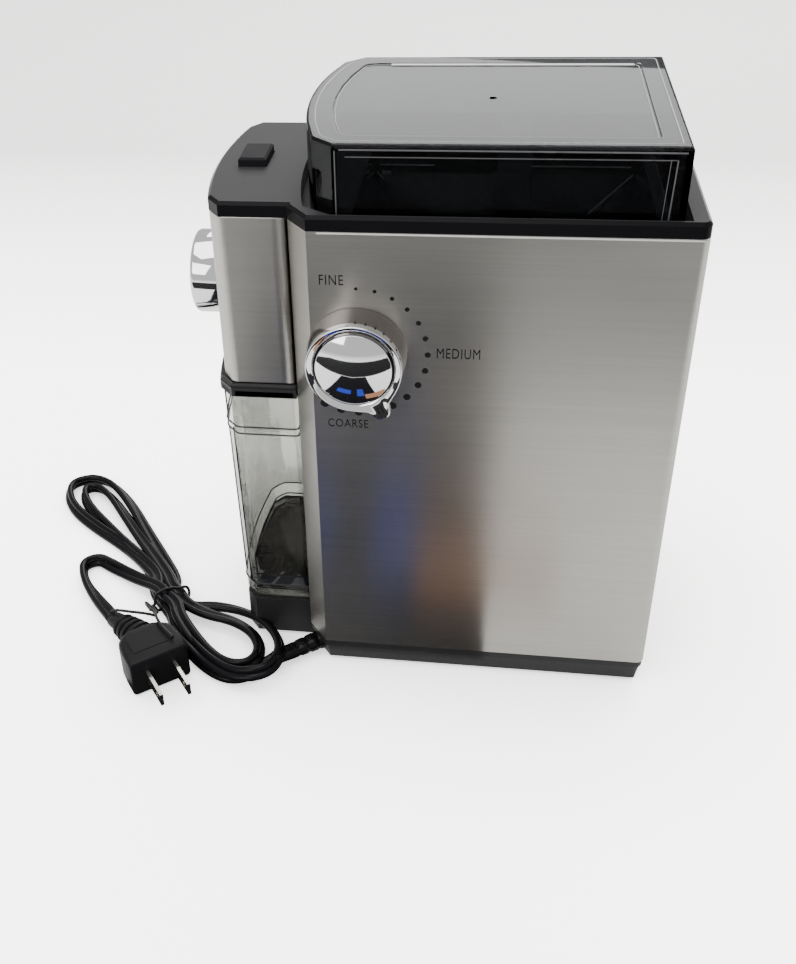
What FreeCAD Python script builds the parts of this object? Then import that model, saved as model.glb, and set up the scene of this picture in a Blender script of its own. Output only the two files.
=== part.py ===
import FreeCAD, Part
import Sketcher
import math
import os
import re

# Burr coffee grinder, millimetres.  +Z is up, the floor is Z = 0, the front of the machine
# faces -Y and the grind dial is on the +X side.  The origin is on the floor, at the middle of
# the box round the machine without its mains lead.

SIZES = [
    # casing
    ("middle_x", -8.5, "X of the casing's middle plane"),
    ("casing_half", 57.0, "half the width over the steel"),
    ("casing_front", -48.75, "front of the main block"),
    ("casing_back", 98.75, "back of the main block"),
    ("slope_half", 46.2, "half width where the sloped front corner meets the front"),
    ("slope_back", -40.45, "Y where the sloped front corner meets the side"),
    ("back_round", 3.5, "radius of the rear upright corners"),
    ("steel", 0.8, "sheet thickness of both steel wraps"),
    ("steel_foot", 13.2, "bottom of the main wrap"),
    ("steel_top", 210.3, "top of both wraps"),
    ("nose_foot", 140.1, "bottom of the front unit's wrap"),
    ("nose_half", 45.4, "half width of the front unit"),
    ("nose_side", -74.75, "Y where the front unit's sides end"),
    ("nose_slope_half", 38.7, "half width where the bowed front starts"),
    ("nose_slope", -79.75, "Y where the bowed front starts"),
    ("nose_bow", 189.0, "radius of the bowed front"),
    # top cover and its well
    ("cover_top", 216.0, "upper face of the top cover"),
    ("cover_bevel", 1.2, "bevel round the cover"),
    ("cover_skin", 2.4, "thickness of the cover over the front unit"),
    ("well_half", 55.0, "half width of the well that takes the lid"),
    ("well_back", 92.25, "back of the well"),
    ("well_side", -31.75, "Y where the well's sides end"),
    ("well_slope_half", 47.5, "half width where the well's bowed front starts"),
    ("well_slope", -42.75, "Y where the well's bowed front starts"),
    ("well_bow", 211.0, "radius of the well's bowed front"),
    ("well_wall", 1.0, "wall of the well below the cover"),
    ("ledge_top", 208.8, "ledge that the lid sits on"),
    ("ledge_thick", 2.0, "thickness of that ledge"),
    # hopper
    ("hopper_half", 46.0, "half width of the hopper's mouth"),
    ("hopper_front", -26.25, "front of the hopper's mouth"),
    ("hopper_back", 82.75, "back of the hopper's mouth"),
    ("hopper_wall", 2.0, "wall of the hopper"),
    ("hopper_knee", 194.0, "height where the hopper starts to slope"),
    ("throat_top", 181.0, "floor of the hopper"),
    ("throat_half", 34.0, "half width of the hopper's floor"),
    ("throat_bore", 33.4, "radius of the hopper's throat"),
    ("hopper_flange", 7.0, "width of the flange under the ledge"),
    # lid
    ("lid_half", 53.6, "half width of the lid"),
    ("lid_back", 89.45, "back of the lid"),
    ("lid_side", -30.75, "Y where the lid's sides end"),
    ("lid_slope_half", 46.0, "half width where the lid's bowed front starts"),
    ("lid_slope", -38.75, "Y where the lid's bowed front starts"),
    ("lid_bow", 154.6, "radius of the lid's bowed front"),
    ("lid_foot", 209.1, "bottom of the lid"),
    ("lid_top", 240.9, "top of the lid"),
    ("lid_wall", 2.2, "wall of the lid"),
    ("lid_panel_inset", 9.5, "margin round the lid's sunk panel"),
    ("lid_panel_sink", 0.6, "depth of that panel"),
    # base
    ("flange_gap", 0.4, "the base flange stands this much inside the steel"),
    ("flange_foot", 10.0, "bottom of the base flange"),
    ("skirt_inset", 1.0, "top of the skirt inside the steel"),
    ("skirt_foot_inset", 2.5, "bottom of the skirt inside the steel"),
    ("skirt_foot", 1.5, "bottom of the skirt"),
    ("base_wall", 4.5, "inside of the skirt, from the steel"),
    ("base_floor", 2.4, "thickness of the base's floor"),
    ("plate_thick", 2.0, "thickness of the bottom plate"),
    ("plate_inset", 4.8, "edge of the bottom plate, from the steel"),
    ("platform_half", 40.5, "half width of the platform under the container"),
    ("platform_side", -75.25, "Y where the platform's sides end"),
    ("platform_slope_half", 34.5, "half width where its bowed front starts"),
    ("platform_slope", -80.0, "Y where its bowed front starts"),
    ("platform_bow", 265.0, "radius of its bowed front"),
    ("platform_top", 20.5, "top of the platform"),
    ("platform_wall", 3.0, "wall and roof of the platform"),
    ("foot_radius", 6.5, "radius of a rubber foot"),
    ("foot_peg", 2.2, "radius of a foot's peg"),
    ("front_foot_x", 27.0, "front feet from the middle plane"),
    ("front_foot_y", -69.0, "Y of the front feet"),
    ("rear_foot_x", 38.0, "rear feet from the middle plane"),
    ("rear_foot_y", 78.0, "Y of the rear feet"),
    ("base_screw_x", 46.0, "base screws from the middle plane"),
    ("base_screw_front", -30.0, "Y of the front base screws"),
    ("base_screw_back", 89.0, "Y of the rear base screws"),
    # decks and columns
    ("deck_half", 55.6, "half width of the two decks"),
    ("deck_front", -40.0, "front of the decks"),
    ("deck_back", 96.4, "back of the decks"),
    ("deck_thick", 3.0, "thickness of a deck"),
    ("lower_deck_foot", 102.0, "bottom of the lower deck"),
    ("upper_deck_foot", 140.0, "bottom of the upper deck"),
    ("column_x", 51.6, "columns from the middle plane"),
    ("column_front", -35.6, "Y of the front columns"),
    ("column_back", 84.0, "Y of the rear columns"),
    ("column_radius", 3.2, "radius of a column"),
    # burrs and their drive
    ("burr_y", 32.0, "Y of the burr axis"),
    ("burr_radius", 24.5, "outer radius of both burrs"),
    ("burr_height", 6.0, "height of a burr"),
    ("lower_burr_foot", 158.0, "bottom of the lower burr"),
    ("upper_burr_foot", 165.0, "bottom of the upper burr at rest"),
    ("burr_throat", 11.0, "bore of the upper burr"),
    ("groove_depth", 1.4, "depth of the burrs' grooves"),
    ("groove_width", 2.2, "width of the burrs' grooves"),
    ("groove_count", 16.0, "grooves in each burr"),
    ("spindle_radius", 4.0, "radius of the burr spindle"),
    ("spindle_foot", 101.5, "bottom of the spindle"),
    ("hub_radius", 6.5, "radius of the impeller's hub"),
    ("impeller_radius", 28.4, "radius over the impeller's vanes"),
    ("impeller_foot", 152.5, "bottom of the impeller"),
    ("chamber_bore", 30.0, "bore of the grinding chamber"),
    ("chamber_radius", 33.0, "outer radius of the grinding chamber"),
    ("chamber_foot", 143.0, "bottom of the chamber's floor"),
    ("chamber_floor", 3.5, "thickness of the chamber's floor"),
    ("chamber_top", 167.4, "top of the chamber's wall"),
    ("chamber_hub", 10.0, "radius of the hub round the upper bearing"),
    ("bearing_radius", 8.0, "outer radius of a bearing"),
    ("running_gap", 0.05, "radial gap of a shaft in its bearing"),
    ("gear_module", 1.0, "module of the motor pinion and the spindle gear"),
    ("pinion_teeth", 12.0, "teeth of the motor pinion"),
    ("gear_teeth", 56.0, "teeth of the spindle gear"),
    ("gear_foot", 108.0, "bottom of the spindle gear"),
    ("gear_width", 8.0, "width of the spindle gear"),
    ("motor_y", 66.0, "Y of the motor axis, a gear centre distance behind the burrs"),
    # burr adjustment
    ("seat_foot", 170.2, "bottom of the seat ring at rest"),
    ("seat_height", 4.0, "height of the seat ring"),
    ("seat_radius", 33.3, "outer radius of the seat ring"),
    ("seat_bore", 29.4, "bore of the seat ring"),
    ("ring_module", 1.5, "module of the adjusting ring and the rack's side teeth"),
    ("ring_teeth", 56.0, "teeth of the adjusting ring"),
    ("ring_foot", 167.9, "bottom of the adjusting ring"),
    ("ring_lip", 1.3, "height of the ring's inner lip"),
    ("ring_height", 8.0, "height of the adjusting ring"),
    ("ring_bore", 33.7, "bore of the adjusting ring"),
    ("carrier_radius", 33.0, "radius of the carrier in the hopper's throat"),
    ("carrier_foot", 165.2, "bottom of the carrier at rest"),
    ("carrier_top", 181.2, "top of the carrier at rest"),
    ("handle_width", 12.5, "width of the carrier's bail"),
    ("handle_half", 32.2, "half the bail's span"),
    ("handle_thick", 3.2, "thickness of the bail"),
    ("handle_top", 228.0, "top of the bail"),
    ("dial_y", -22.85, "Y of the grind dial"),
    ("dial_z", 162.0, "height of the grind dial"),
    ("dial_module", 1.125, "module of the dial's pinion and the rack's top teeth"),
    ("dial_teeth", 8.0, "teeth of the dial's pinion"),
    ("dial_shaft", 3.0, "radius of the dial's shaft"),
    ("rack_outer", 47.8, "outer face of the rack"),
    ("rack_front", -38.0, "front end of the rack at rest"),
    ("rack_rise", 4.0, "Y where the rack steps up"),
    ("rack_back", 45.0, "rear end of the rack at rest"),
    ("rack_foot", 151.2, "underside of the rack"),
    ("rack_top", 176.0, "top of the rack's rear part"),
    # controls
    ("dial_gap", 0.5, "gap between a dial or knob and the steel"),
    ("dial_base_radius", 19.0, "dial radius at the panel"),
    ("dial_face_radius", 17.8, "dial radius at its face"),
    ("dial_height", 13.0, "height of the dial's rim above the panel"),
    ("dial_cap_radius", 14.6, "radius of the domed cap"),
    ("dial_crown", 17.0, "height of the dome above the panel"),
    ("dial_dome_radius", 31.4, "radius of the domed cap's sphere"),
    ("dial_dome", 3.60071943, "rise of the dome, from its sphere and the cap's radius"),
    ("pointer_reach", 23.0, "tip of the pointer from the dial's axis"),
    ("knob_z", 167.1, "height of the quantity knob"),
    ("knob_back", -84.5, "back of the quantity knob"),
    ("knob_length", 14.25, "length of the quantity knob"),
    ("knob_radius", 17.4, "radius of the quantity knob"),
    ("button_y", -68.6, "Y of the start button"),
    ("button_half_x", 8.8, "half width of the start button"),
    ("button_half_y", 5.5, "half depth of the start button"),
    ("button_top", 219.3, "top of the start button"),
    ("button_gap", 0.3, "gap round the start button"),
    ("board_foot", 186.0, "underside of the control board"),
    ("board_thick", 1.6, "thickness of the control board"),
    # chute
    ("chute_half", 14.0, "half width of the grounds chute"),
    ("chute_wall", 2.0, "wall of the grounds chute"),
    ("chute_foot", 143.1, "underside of the grounds chute"),
    ("chute_top", 158.0, "top of the grounds chute"),
    ("chute_front", -79.0, "front of the grounds chute"),
    ("outlet_back", -57.0, "back of the outlet over the container"),
    # grounds container
    ("bin_back", -49.25, "back of the grounds container"),
    ("bin_foot", 21.0, "bottom of the grounds container"),
    ("bin_top", 136.4, "top of the grounds container"),
    ("bin_half", 45.0, "half width of the container's mouth"),
    ("bin_side", -75.25, "Y where the mouth's sides end"),
    ("bin_slope_half", 39.0, "half width where the mouth's bowed front starts"),
    ("bin_slope", -80.75, "Y where the mouth's bowed front starts"),
    ("bin_bow", 210.0, "radius of the bowed front"),
    ("bin_foot_half", 39.2, "half width of the container's bottom"),
    ("bin_foot_side", -75.0, "Y where the bottom's sides end"),
    ("bin_foot_slope_half", 33.4, "half width where the bottom's bowed front starts"),
    ("bin_foot_slope", -80.25, "Y where the bottom's bowed front starts"),
    ("bin_wall", 2.0, "wall of the container"),
    ("bin_lid_foot", 133.6, "bottom of the container lid's rim"),
    ("bin_lid_top", 139.6, "top of the container lid"),
    ("bin_lid_plate", 3.0, "thickness of the container lid"),
    ("bin_lid_reach", 1.2, "the lid's rim stands this much outside the container"),
    # motor
    ("motor_shaft", 3.0, "radius of the motor shaft"),
    ("stator_half", 28.0, "half width of the stator's laminations"),
    ("stator_foot", 52.0, "bottom of the stator"),
    ("stator_height", 30.0, "height of the stator"),
    ("stator_bore", 17.0, "bore of the stator"),
    ("armature_radius", 16.4, "radius of the armature"),
    ("commutator_radius", 9.0, "radius of the commutator"),
    ("commutator_foot", 28.0, "bottom of the commutator"),
    ("commutator_height", 12.0, "height of the commutator"),
    ("fan_radius", 25.5, "radius of the cooling fan"),
    ("fan_foot", 90.5, "bottom of the cooling fan"),
    ("bracket_foot", 18.0, "bottom of the motor's lower bracket"),
    ("bracket_thick", 5.0, "thickness of the lower bracket"),
    ("motor_bolt", 23.0, "motor bolts from the motor axis, each way"),
    # mains lead
    ("gland_x", 46.74, "inner end of the gland from the middle plane, in the front corner"),
    ("gland_y", -42.37, "Y of the gland's inner end"),
    ("gland_z", 5.4, "height of the gland"),
    ("gland_radius", 3.2, "radius of the gland where it passes the skirt"),
    ("gland_neck", 4.4, "length of the gland inside the skirt"),
    ("boot_length", 22.0, "length of the gland's tapered boot"),
    ("lead_radius", 2.6, "radius of a round tube with the two-core lead's section"),
    ("hank_foot", 0.5, "underside of the tied hank"),
    ("hank_height", 9.5, "height of the tied hank"),
    ("tie_x", 19.0, "X of the twist tie"),
    ("tie_y", -124.0, "Y of the twist tie"),
    ("tie_half", 8.6, "half the width that the twist tie holds"),
    ("plug_x", 71.5, "X of the plug's face"),
    ("plug_y", -111.5, "Y of the plug's face"),
    ("plug_length", 24.0, "length of the plug's body"),
    ("plug_half", 12.9, "half width of the plug"),
    ("plug_height", 19.0, "height of the plug"),
    ("relief_length", 24.0, "length of the plug's strain relief"),
    ("blade_half_gap", 6.35, "plug blades from the plug's axis"),
    ("blade_length", 17.0, "length of the blades outside the plug"),
]

document = FreeCAD.newDocument("burr_coffee_grinder")
sheet = document.addObject("Spreadsheet::Sheet", "Sizes")
for row, (alias, amount, meaning) in enumerate(SIZES, start=1):
    sheet.set("A%d" % row, alias)
    sheet.set("B%d" % row, str(amount))
    sheet.setAlias("B%d" % row, alias)
    sheet.set("C%d" % row, meaning)
document.recompute()

subparts = {}


def bound(text):
    """A size expression such as 'casing_half - steel' with its names read from the sheet."""
    return re.sub(r"[a-z]\w+", r"Sizes.\g<0>", text)


def term(word):
    """The value of names and numbers joined by * and /."""
    result = 1.0
    for sign, minus, factor in re.findall(r"([*/]?)(-?)([^*/]+)", word):
        amount = getattr(sheet, factor) if factor[0].isalpha() else float(factor)
        result = result / amount if sign == "/" else result * amount
        result = -result if minus else result
    return result


def value(text):
    """The value of a sum of terms, written like 'casing_half - 2*steel'."""
    total = 0.0
    sign = 1.0
    for word in text.split():
        if word in "+-":
            sign = -1.0 if word == "-" else 1.0
        else:
            total += sign * term(word)
    return total


def flip(text):
    """The same size with the opposite sign, for the mirrored half of an outline."""
    return " ".join({"+": "-", "-": "+"}.get(word, word) for word in ("-" + text).split(" "))


def place(thing, at, turn=None):
    """Put a piece at three size expressions, with an optional turn (axis, degrees)."""
    rotation = FreeCAD.Rotation(FreeCAD.Vector(*turn[0]), turn[1]) if turn else FreeCAD.Rotation()
    spot = FreeCAD.Vector(*[value(text) for text in at])
    thing.Placement = FreeCAD.Placement(spot, rotation)
    for axis, text in zip("xyz", at):
        thing.setExpression("Placement.Base." + axis, bound(text))


def keep(thing, label):
    """Name a finished sub-part."""
    thing.Label = label
    subparts[label] = thing
    return thing


# ---------------------------------------------------------------- part design helpers

def new_body(label, at=("middle_x", "0", "0"), turn=None):
    body = document.addObject("PartDesign::Body", label)
    place(body, at, turn)
    return keep(body, label)


def new_sketch(body, plane="XY_Plane", height="0"):
    sketch = body.newObject("Sketcher::SketchObject", body.Name + "_sketch")
    origin = [item for item in body.Origin.OriginFeatures if item.Role == plane][0]
    sketch.AttachmentSupport = [(origin, "")]
    sketch.MapMode = "FlatFace"
    sketch.setExpression("AttachmentOffset.Base.z", bound(height))
    return sketch


def turned_sketch(body, at, axis, angle):
    """A sketch at a point of the body, its normal turned from +Z about an axis."""
    sketch = new_sketch(body)
    sketch.AttachmentOffset = FreeCAD.Placement(FreeCAD.Vector(0, 0, 0),
                                                FreeCAD.Rotation(FreeCAD.Vector(*axis), angle))
    for name, amount in zip("xyz", at):
        sketch.setExpression("AttachmentOffset.Base." + name, bound(amount))
    return sketch


def fix(sketch, along, geometry, end, text):
    """Hold one coordinate of a point at a size expression."""
    kind = "DistanceX" if along == "x" else "DistanceY"
    amount = value(text)
    if abs(amount) < 1e-9:
        axis = -2 if along == "x" else -1
        sketch.addConstraint(Sketcher.Constraint("PointOnObject", geometry, end, axis))
        return
    index = sketch.addConstraint(Sketcher.Constraint(kind, -1, 1, geometry, end, amount))
    sketch.setExpression("Constraints[%d]" % index, bound(text))


def fix_radius(sketch, geometry, text):
    index = sketch.addConstraint(Sketcher.Constraint("Radius", geometry, value(text)))
    sketch.setExpression("Constraints[%d]" % index, bound(text))


def arc_between(first, last, radius):
    """The arc from first to last, turning left, on a circle of that radius."""
    chord = last - first
    half = chord.Length / 2
    middle = (first + last) * 0.5
    inward = FreeCAD.Vector(-chord.y, chord.x, 0).normalize()
    centre = middle + inward * math.sqrt(radius ** 2 - half ** 2)
    circle = Part.Circle(centre, FreeCAD.Vector(0, 0, 1), radius)
    start = math.atan2(first.y - centre.y, first.x - centre.x)
    stop = math.atan2(last.y - centre.y, last.x - centre.x)
    return Part.ArcOfCircle(circle, start, stop)


def outline(sketch, points):
    """A closed outline, turning left, through (x, y) points.  A third entry is the radius of
    an arc from that point to the next."""
    spots = [FreeCAD.Vector(value(point[0]), value(point[1]), 0) for point in points]
    sides = []
    for index, point in enumerate(points):
        first = spots[index]
        last = spots[(index + 1) % len(points)]
        if len(point) == 3:
            geometry = sketch.addGeometry(arc_between(first, last, value(point[2])))
            fix_radius(sketch, geometry, point[2])
        else:
            geometry = sketch.addGeometry(Part.LineSegment(first, last))
        sides.append(geometry)
    for index, point in enumerate(points):
        before = sides[index - 1]
        sketch.addConstraint(Sketcher.Constraint("Coincident", before, 2, sides[index], 1))
        fix(sketch, "x", sides[index], 1, point[0])
        fix(sketch, "y", sides[index], 1, point[1])


def circle(sketch, x, y, radius):
    spot = FreeCAD.Vector(value(x), value(y), 0)
    normal = FreeCAD.Vector(0, 0, 1)
    geometry = sketch.addGeometry(Part.Circle(spot, normal, value(radius)))
    fix(sketch, "x", geometry, 3, x)
    fix(sketch, "y", geometry, 3, y)
    fix_radius(sketch, geometry, radius)


def rectangle(sketch, left, right, front, back):
    outline(sketch, [(left, front), (right, front), (right, back), (left, back)])


def extrude(body, kind, sketch, length, upward):
    feature = body.newObject("PartDesign::" + kind, body.Name + "_" + kind.lower())
    feature.Profile = sketch
    feature.setExpression("Length", bound(length))
    feature.Reversed = upward if kind == "Pocket" else not upward
    document.recompute()
    return feature


def pad(body, sketch, length):
    return extrude(body, "Pad", sketch, length, True)


def pocket(body, sketch, length, upward=False):
    before = body.Tip.Shape.Volume
    feature = extrude(body, "Pocket", sketch, length, upward)
    if feature.Shape.Volume > before - 1e-3:
        raise RuntimeError("%s: a pocket cuts nothing" % body.Label)
    return feature


def revolve(body, kind, sketch):
    feature = body.newObject("PartDesign::" + kind, body.Name + "_" + kind.lower())
    feature.Profile = sketch
    feature.ReferenceAxis = (sketch, ["V_Axis"])
    feature.Angle = 360
    document.recompute()
    return feature


def loft(body, kind, sketches):
    feature = body.newObject("PartDesign::" + kind, body.Name + "_" + kind.lower())
    feature.Profile = sketches[0]
    feature.Sections = sketches[1:]
    feature.Ruled = True
    document.recompute()
    return feature


def repeat(body, feature, sketch, count):
    """Copy a feature evenly round the body's Z axis."""
    pattern = body.newObject("PartDesign::PolarPattern", body.Name + "_pattern")
    pattern.Originals = [feature]
    pattern.Axis = (sketch, ["N_Axis"])
    pattern.Angle = 360
    pattern.setExpression("Occurrences", bound(count))
    body.Tip = pattern
    document.recompute()
    return pattern


def level_faces(shape, heights):
    """Names of the flat level faces at the given heights."""
    names = []
    for index, face in enumerate(shape.Faces, start=1):
        box = face.BoundBox
        flat = box.ZLength < 1e-4
        if flat and any(abs(box.ZMin - height) < 1e-3 for height in heights):
            names.append("Face%d" % index)
    return names


def hollow(body, heights, thickness):
    """Hollow a body to one wall, open at the level faces at those heights."""
    base = body.Tip
    feature = body.newObject("PartDesign::Thickness", body.Name + "_thickness")
    feature.Base = (base, level_faces(base.Shape, [value(text) for text in heights]))
    feature.setExpression("Value", bound(thickness))
    feature.Mode = 0
    feature.Join = 1
    feature.Reversed = True
    document.recompute()
    if feature.Shape.Volume > base.Shape.Volume:
        raise RuntimeError("%s: hollowed outward" % body.Label)
    return feature


def edges_near(shape, test):
    """Names of the edges whose box passes a test."""
    return ["Edge%d" % index for index, edge in enumerate(shape.Edges, start=1)
            if test(edge.BoundBox)]


def soften(body, kind, test, size):
    """Fillet or chamfer the edges whose box passes a test."""
    base = body.Tip
    feature = body.newObject("PartDesign::" + kind, body.Name + "_" + kind.lower())
    feature.Base = (base, edges_near(base.Shape, test))
    feature.setExpression("Radius" if kind == "Fillet" else "Size", bound(size))
    document.recompute()
    return feature


def level_at(text):
    """An edge test: the edge lies level at that height."""
    height = value(text)
    return lambda box: box.ZLength < 1e-4 and abs(box.ZMin - height) < 1e-3


# ---------------------------------------------------------------- primitive helpers

def block(left, right, front, back, foot, top, name="block"):
    """A box between six size expressions."""
    box = document.addObject("Part::Box", name)
    box.setExpression("Length", bound("(%s) - (%s)" % (right, left)))
    box.setExpression("Width", bound("(%s) - (%s)" % (back, front)))
    box.setExpression("Height", bound("(%s) - (%s)" % (top, foot)))
    place(box, (left, front, foot))
    return box


CORNER_TURN = ((0.794, 0.608, 0), 90)
TURNS = {"z": None, "x": ((0, 1, 0), 90), "-y": ((1, 0, 0), 90), "y": ((1, 0, 0), -90),
         "corner": CORNER_TURN}


def rod(at, radius, length, along="z", name="rod"):
    """A cylinder from a point, along +Z, +X, +Y, -Y or out of the sloped front corner."""
    cylinder = document.addObject("Part::Cylinder", name)
    cylinder.setExpression("Radius", bound(radius))
    cylinder.setExpression("Height", bound(length))
    place(cylinder, at, TURNS[along])
    return cylinder


def join(pieces, name="join"):
    fusion = document.addObject("Part::MultiFuse", name)
    fusion.Shapes = pieces
    return fusion


def cut(base, tools, name="cut"):
    difference = document.addObject("Part::Cut", name)
    difference.Base = base
    difference.Tool = tools[0] if len(tools) == 1 else join(tools)
    return difference


def group(pieces, name="group"):
    """Separate solids that share one node."""
    compound = document.addObject("Part::Compound", name)
    compound.Links = pieces
    return compound


def solid(shape, label, at=("0", "0", "0")):
    """A sub-part whose shape is made by code from the sheet's sizes."""
    feature = document.addObject("Part::Feature", label)
    feature.Shape = shape
    place(feature, at)
    return keep(feature, label)


def tube(at, outer, inner, length, along="z"):
    return cut(rod(at, outer, length, along), [rod(at, inner, length, along)])


def four(x, front, back):
    """Four places, either side of the middle plane, at two values of Y."""
    return [("middle_x " + sign + " " + x, y) for sign in "+-" for y in (front, back)]


# ---------------------------------------------------------------- outlines

def mirrored(points):
    """The left half of an outline, from its right half."""
    return [(flip(x), y) for x, y in reversed(points)]


def casing_outline(inset):
    """The main block from above, that far inside the steel's outer face."""
    right = [
        ("slope_half - 0.338*" + inset, "casing_front + " + inset),
        ("casing_half - " + inset, "slope_back + 0.494*" + inset),
    ]
    rear = [
        ("casing_half - " + inset, "casing_back - back_round", "back_round - " + inset),
        ("casing_half - back_round", "casing_back - " + inset),
    ]
    left_rear = [
        (flip(rear[1][0]), rear[1][1], "back_round - " + inset),
        (flip(rear[0][0]), rear[0][1]),
    ]
    return right + rear + left_rear + mirrored(right)


def square_casing_outline(inset):
    """The same with square rear corners, for insets larger than their radius."""
    right = [
        ("slope_half - 0.338*" + inset, "casing_front + " + inset),
        ("casing_half - " + inset, "slope_back + 0.494*" + inset),
        ("casing_half - " + inset, "casing_back - " + inset),
    ]
    return right + mirrored(right)


def nose_outline(inset, rear="casing_front"):
    """The front unit from above, that far inside its steel, back to a given Y."""
    right = [
        ("nose_slope_half - 0.42*" + inset, "nose_slope + 0.93*" + inset),
        ("nose_half - " + inset, "nose_side + 0.5*" + inset),
        ("nose_half - " + inset, rear),
    ]
    points = right + mirrored(right)
    points[-1] = points[-1] + ("nose_bow - " + inset,)
    return points


def bowed_outline(name, grow, back):
    """A tray from above whose front is bowed between two sloped corners: the platform, the
    well, the lid and the container share this form."""
    right = [
        (name + "_slope_half + 0.42*" + grow, name + "_slope - 0.93*" + grow),
        (name + "_half + " + grow, name + "_side - 0.5*" + grow),
        (name + "_half + " + grow, back),
    ]
    points = right + mirrored(right)
    bow = name.replace("_foot", "") + "_bow + " + grow
    points[-1] = points[-1] + (bow,)
    return points


# ---------------------------------------------------------------- casing

base = new_body("base_tray")
sketch = new_sketch(base, height="flange_foot")
outline(sketch, casing_outline("flange_gap"))
pad(base, sketch, "steel_foot - flange_foot")
skirt_top = new_sketch(base, height="flange_foot")
outline(skirt_top, casing_outline("skirt_inset"))
skirt_bottom = new_sketch(base, height="skirt_foot")
outline(skirt_bottom, casing_outline("skirt_foot_inset"))
loft(base, "AdditiveLoft", [skirt_top, skirt_bottom])
sketch = new_sketch(base, height="skirt_foot")
outline(sketch, bowed_outline("platform", "0", "casing_front + 2*flange_gap + 2*skirt_foot_inset"))
pad(base, sketch, "flange_foot - skirt_foot")
sketch = new_sketch(base, height="skirt_foot")
outline(sketch, bowed_outline("platform", "0", "casing_front"))
pad(base, sketch, "platform_top - skirt_foot")
sketch = new_sketch(base, height="skirt_foot")
outline(sketch, square_casing_outline("base_wall"))
pocket(base, sketch, "steel_foot - base_floor - skirt_foot", upward=True)
sketch = new_sketch(base, height="skirt_foot")
outline(sketch, bowed_outline("platform", "-platform_wall", "casing_front - 1.5"))
pocket(base, sketch, "platform_top - platform_wall - skirt_foot", upward=True)
sketch = new_sketch(base, height="skirt_foot")
for sign in ("", "-"):
    circle(sketch, sign + "front_foot_x", "front_foot_y", "foot_radius + 1")
pad(base, sketch, "platform_top - platform_wall - skirt_foot")
sketch = new_sketch(base, height="skirt_foot + plate_thick")
for sign in ("", "-"):
    for y in ("base_screw_front", "base_screw_back"):
        circle(sketch, sign + "base_screw_x", y, "3.6")
pad(base, sketch, "steel_foot - base_floor - skirt_foot - plate_thick")
sketch = new_sketch(base, height="skirt_foot")
for sign in ("", "-"):
    circle(sketch, sign + "front_foot_x", "front_foot_y", "foot_peg + 0.1")
    for y in ("base_screw_front", "base_screw_back"):
        circle(sketch, sign + "base_screw_x", y, "1.6")
pocket(base, sketch, "8", upward=True)
sketch = turned_sketch(base, ("gland_x", "gland_y", "gland_z"), *CORNER_TURN)
circle(sketch, "0", "0", "gland_radius + 0.05")
pocket(base, sketch, "2*gland_neck", upward=True)

plate = new_body("bottom_plate")
sketch = new_sketch(plate, height="skirt_foot")
outline(sketch, square_casing_outline("plate_inset"))
pad(plate, sketch, "plate_thick")
sketch = new_sketch(plate, height="skirt_foot")
for sign in ("", "-"):
    circle(sketch, sign + "rear_foot_x", "rear_foot_y", "foot_peg + 0.1")
    for y in ("base_screw_front", "base_screw_back"):
        circle(sketch, sign + "base_screw_x", y, "1.7")
pocket(plate, sketch, "plate_thick", upward=True)
sketch = new_sketch(plate, height="skirt_foot")
for slot in range(7):
    middle = "%d" % (-18 + 6 * slot)
    rectangle(sketch, middle + " - 1.5", middle + " + 1.5", "motor_y - 16", "motor_y + 12")
pocket(plate, sketch, "plate_thick", upward=True)


def foot_at(x, y):
    disc = rod((x, y, "0"), "foot_radius", "skirt_foot")
    peg = rod((x, y, "skirt_foot"), "foot_peg", "plate_thick - 0.5")
    return join([disc, peg])


front_feet = [foot_at("middle_x " + sign + " front_foot_x", "front_foot_y") for sign in "+-"]
rear_feet = [foot_at("middle_x " + sign + " rear_foot_x", "rear_foot_y") for sign in "+-"]
keep(group(front_feet + rear_feet), "rubber_feet")


def screw(x, y, foot, head_radius, head_height, radius, length):
    """A screw that points up, from the underside of its head."""
    head = rod((x, y, foot), head_radius, head_height)
    shank = rod((x, y, foot + " + " + head_height), radius, length)
    return join([head, shank])


base_screws = []
for x, y in four("base_screw_x", "base_screw_front", "base_screw_back"):
    base_screws.append(screw(x, y, "skirt_foot - 1.2", "3.0", "1.2", "1.5", "8"))
keep(group(base_screws), "base_screws")

wrap = new_body("body_wrap_steel")
sketch = new_sketch(wrap, height="steel_foot")
outline(sketch, casing_outline("0"))
pad(wrap, sketch, "steel_top - steel_foot")
hollow(wrap, ["steel_foot", "steel_top"], "steel")
sketch = new_sketch(wrap, height="steel_foot")
rectangle(sketch, "-slope_half", "slope_half", "casing_front - 1", "casing_front + 2*steel")
pocket(wrap, sketch, "steel_top - steel_foot", upward=True)
sketch = new_sketch(wrap, "YZ_Plane", "casing_half + 1")
circle(sketch, "dial_y", "dial_z", "dial_shaft + 1.5")
pocket(wrap, sketch, "2 + 2*steel")

nose = new_body("front_wrap_steel")
sketch = new_sketch(nose, height="nose_foot")
outline(sketch, nose_outline("0"))
pad(nose, sketch, "steel_top - nose_foot")
hollow(nose, ["nose_foot", "steel_top"], "steel")
sketch = new_sketch(nose, height="nose_foot")
rectangle(sketch, "steel - nose_half", "nose_half - steel", "casing_front - 2*steel",
          "casing_front + 1")
pocket(nose, sketch, "steel_top - nose_foot", upward=True)
sketch = new_sketch(nose, "XZ_Plane", "-nose_slope")
circle(sketch, "0", "knob_z", "dial_shaft + 1")
pocket(nose, sketch, "8", upward=True)

keep(block("middle_x - slope_half + 2*steel", "middle_x + slope_half - 2*steel", "casing_front",
           "casing_front + 2.5", "steel_foot", "nose_foot"), "bay_wall")

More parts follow.
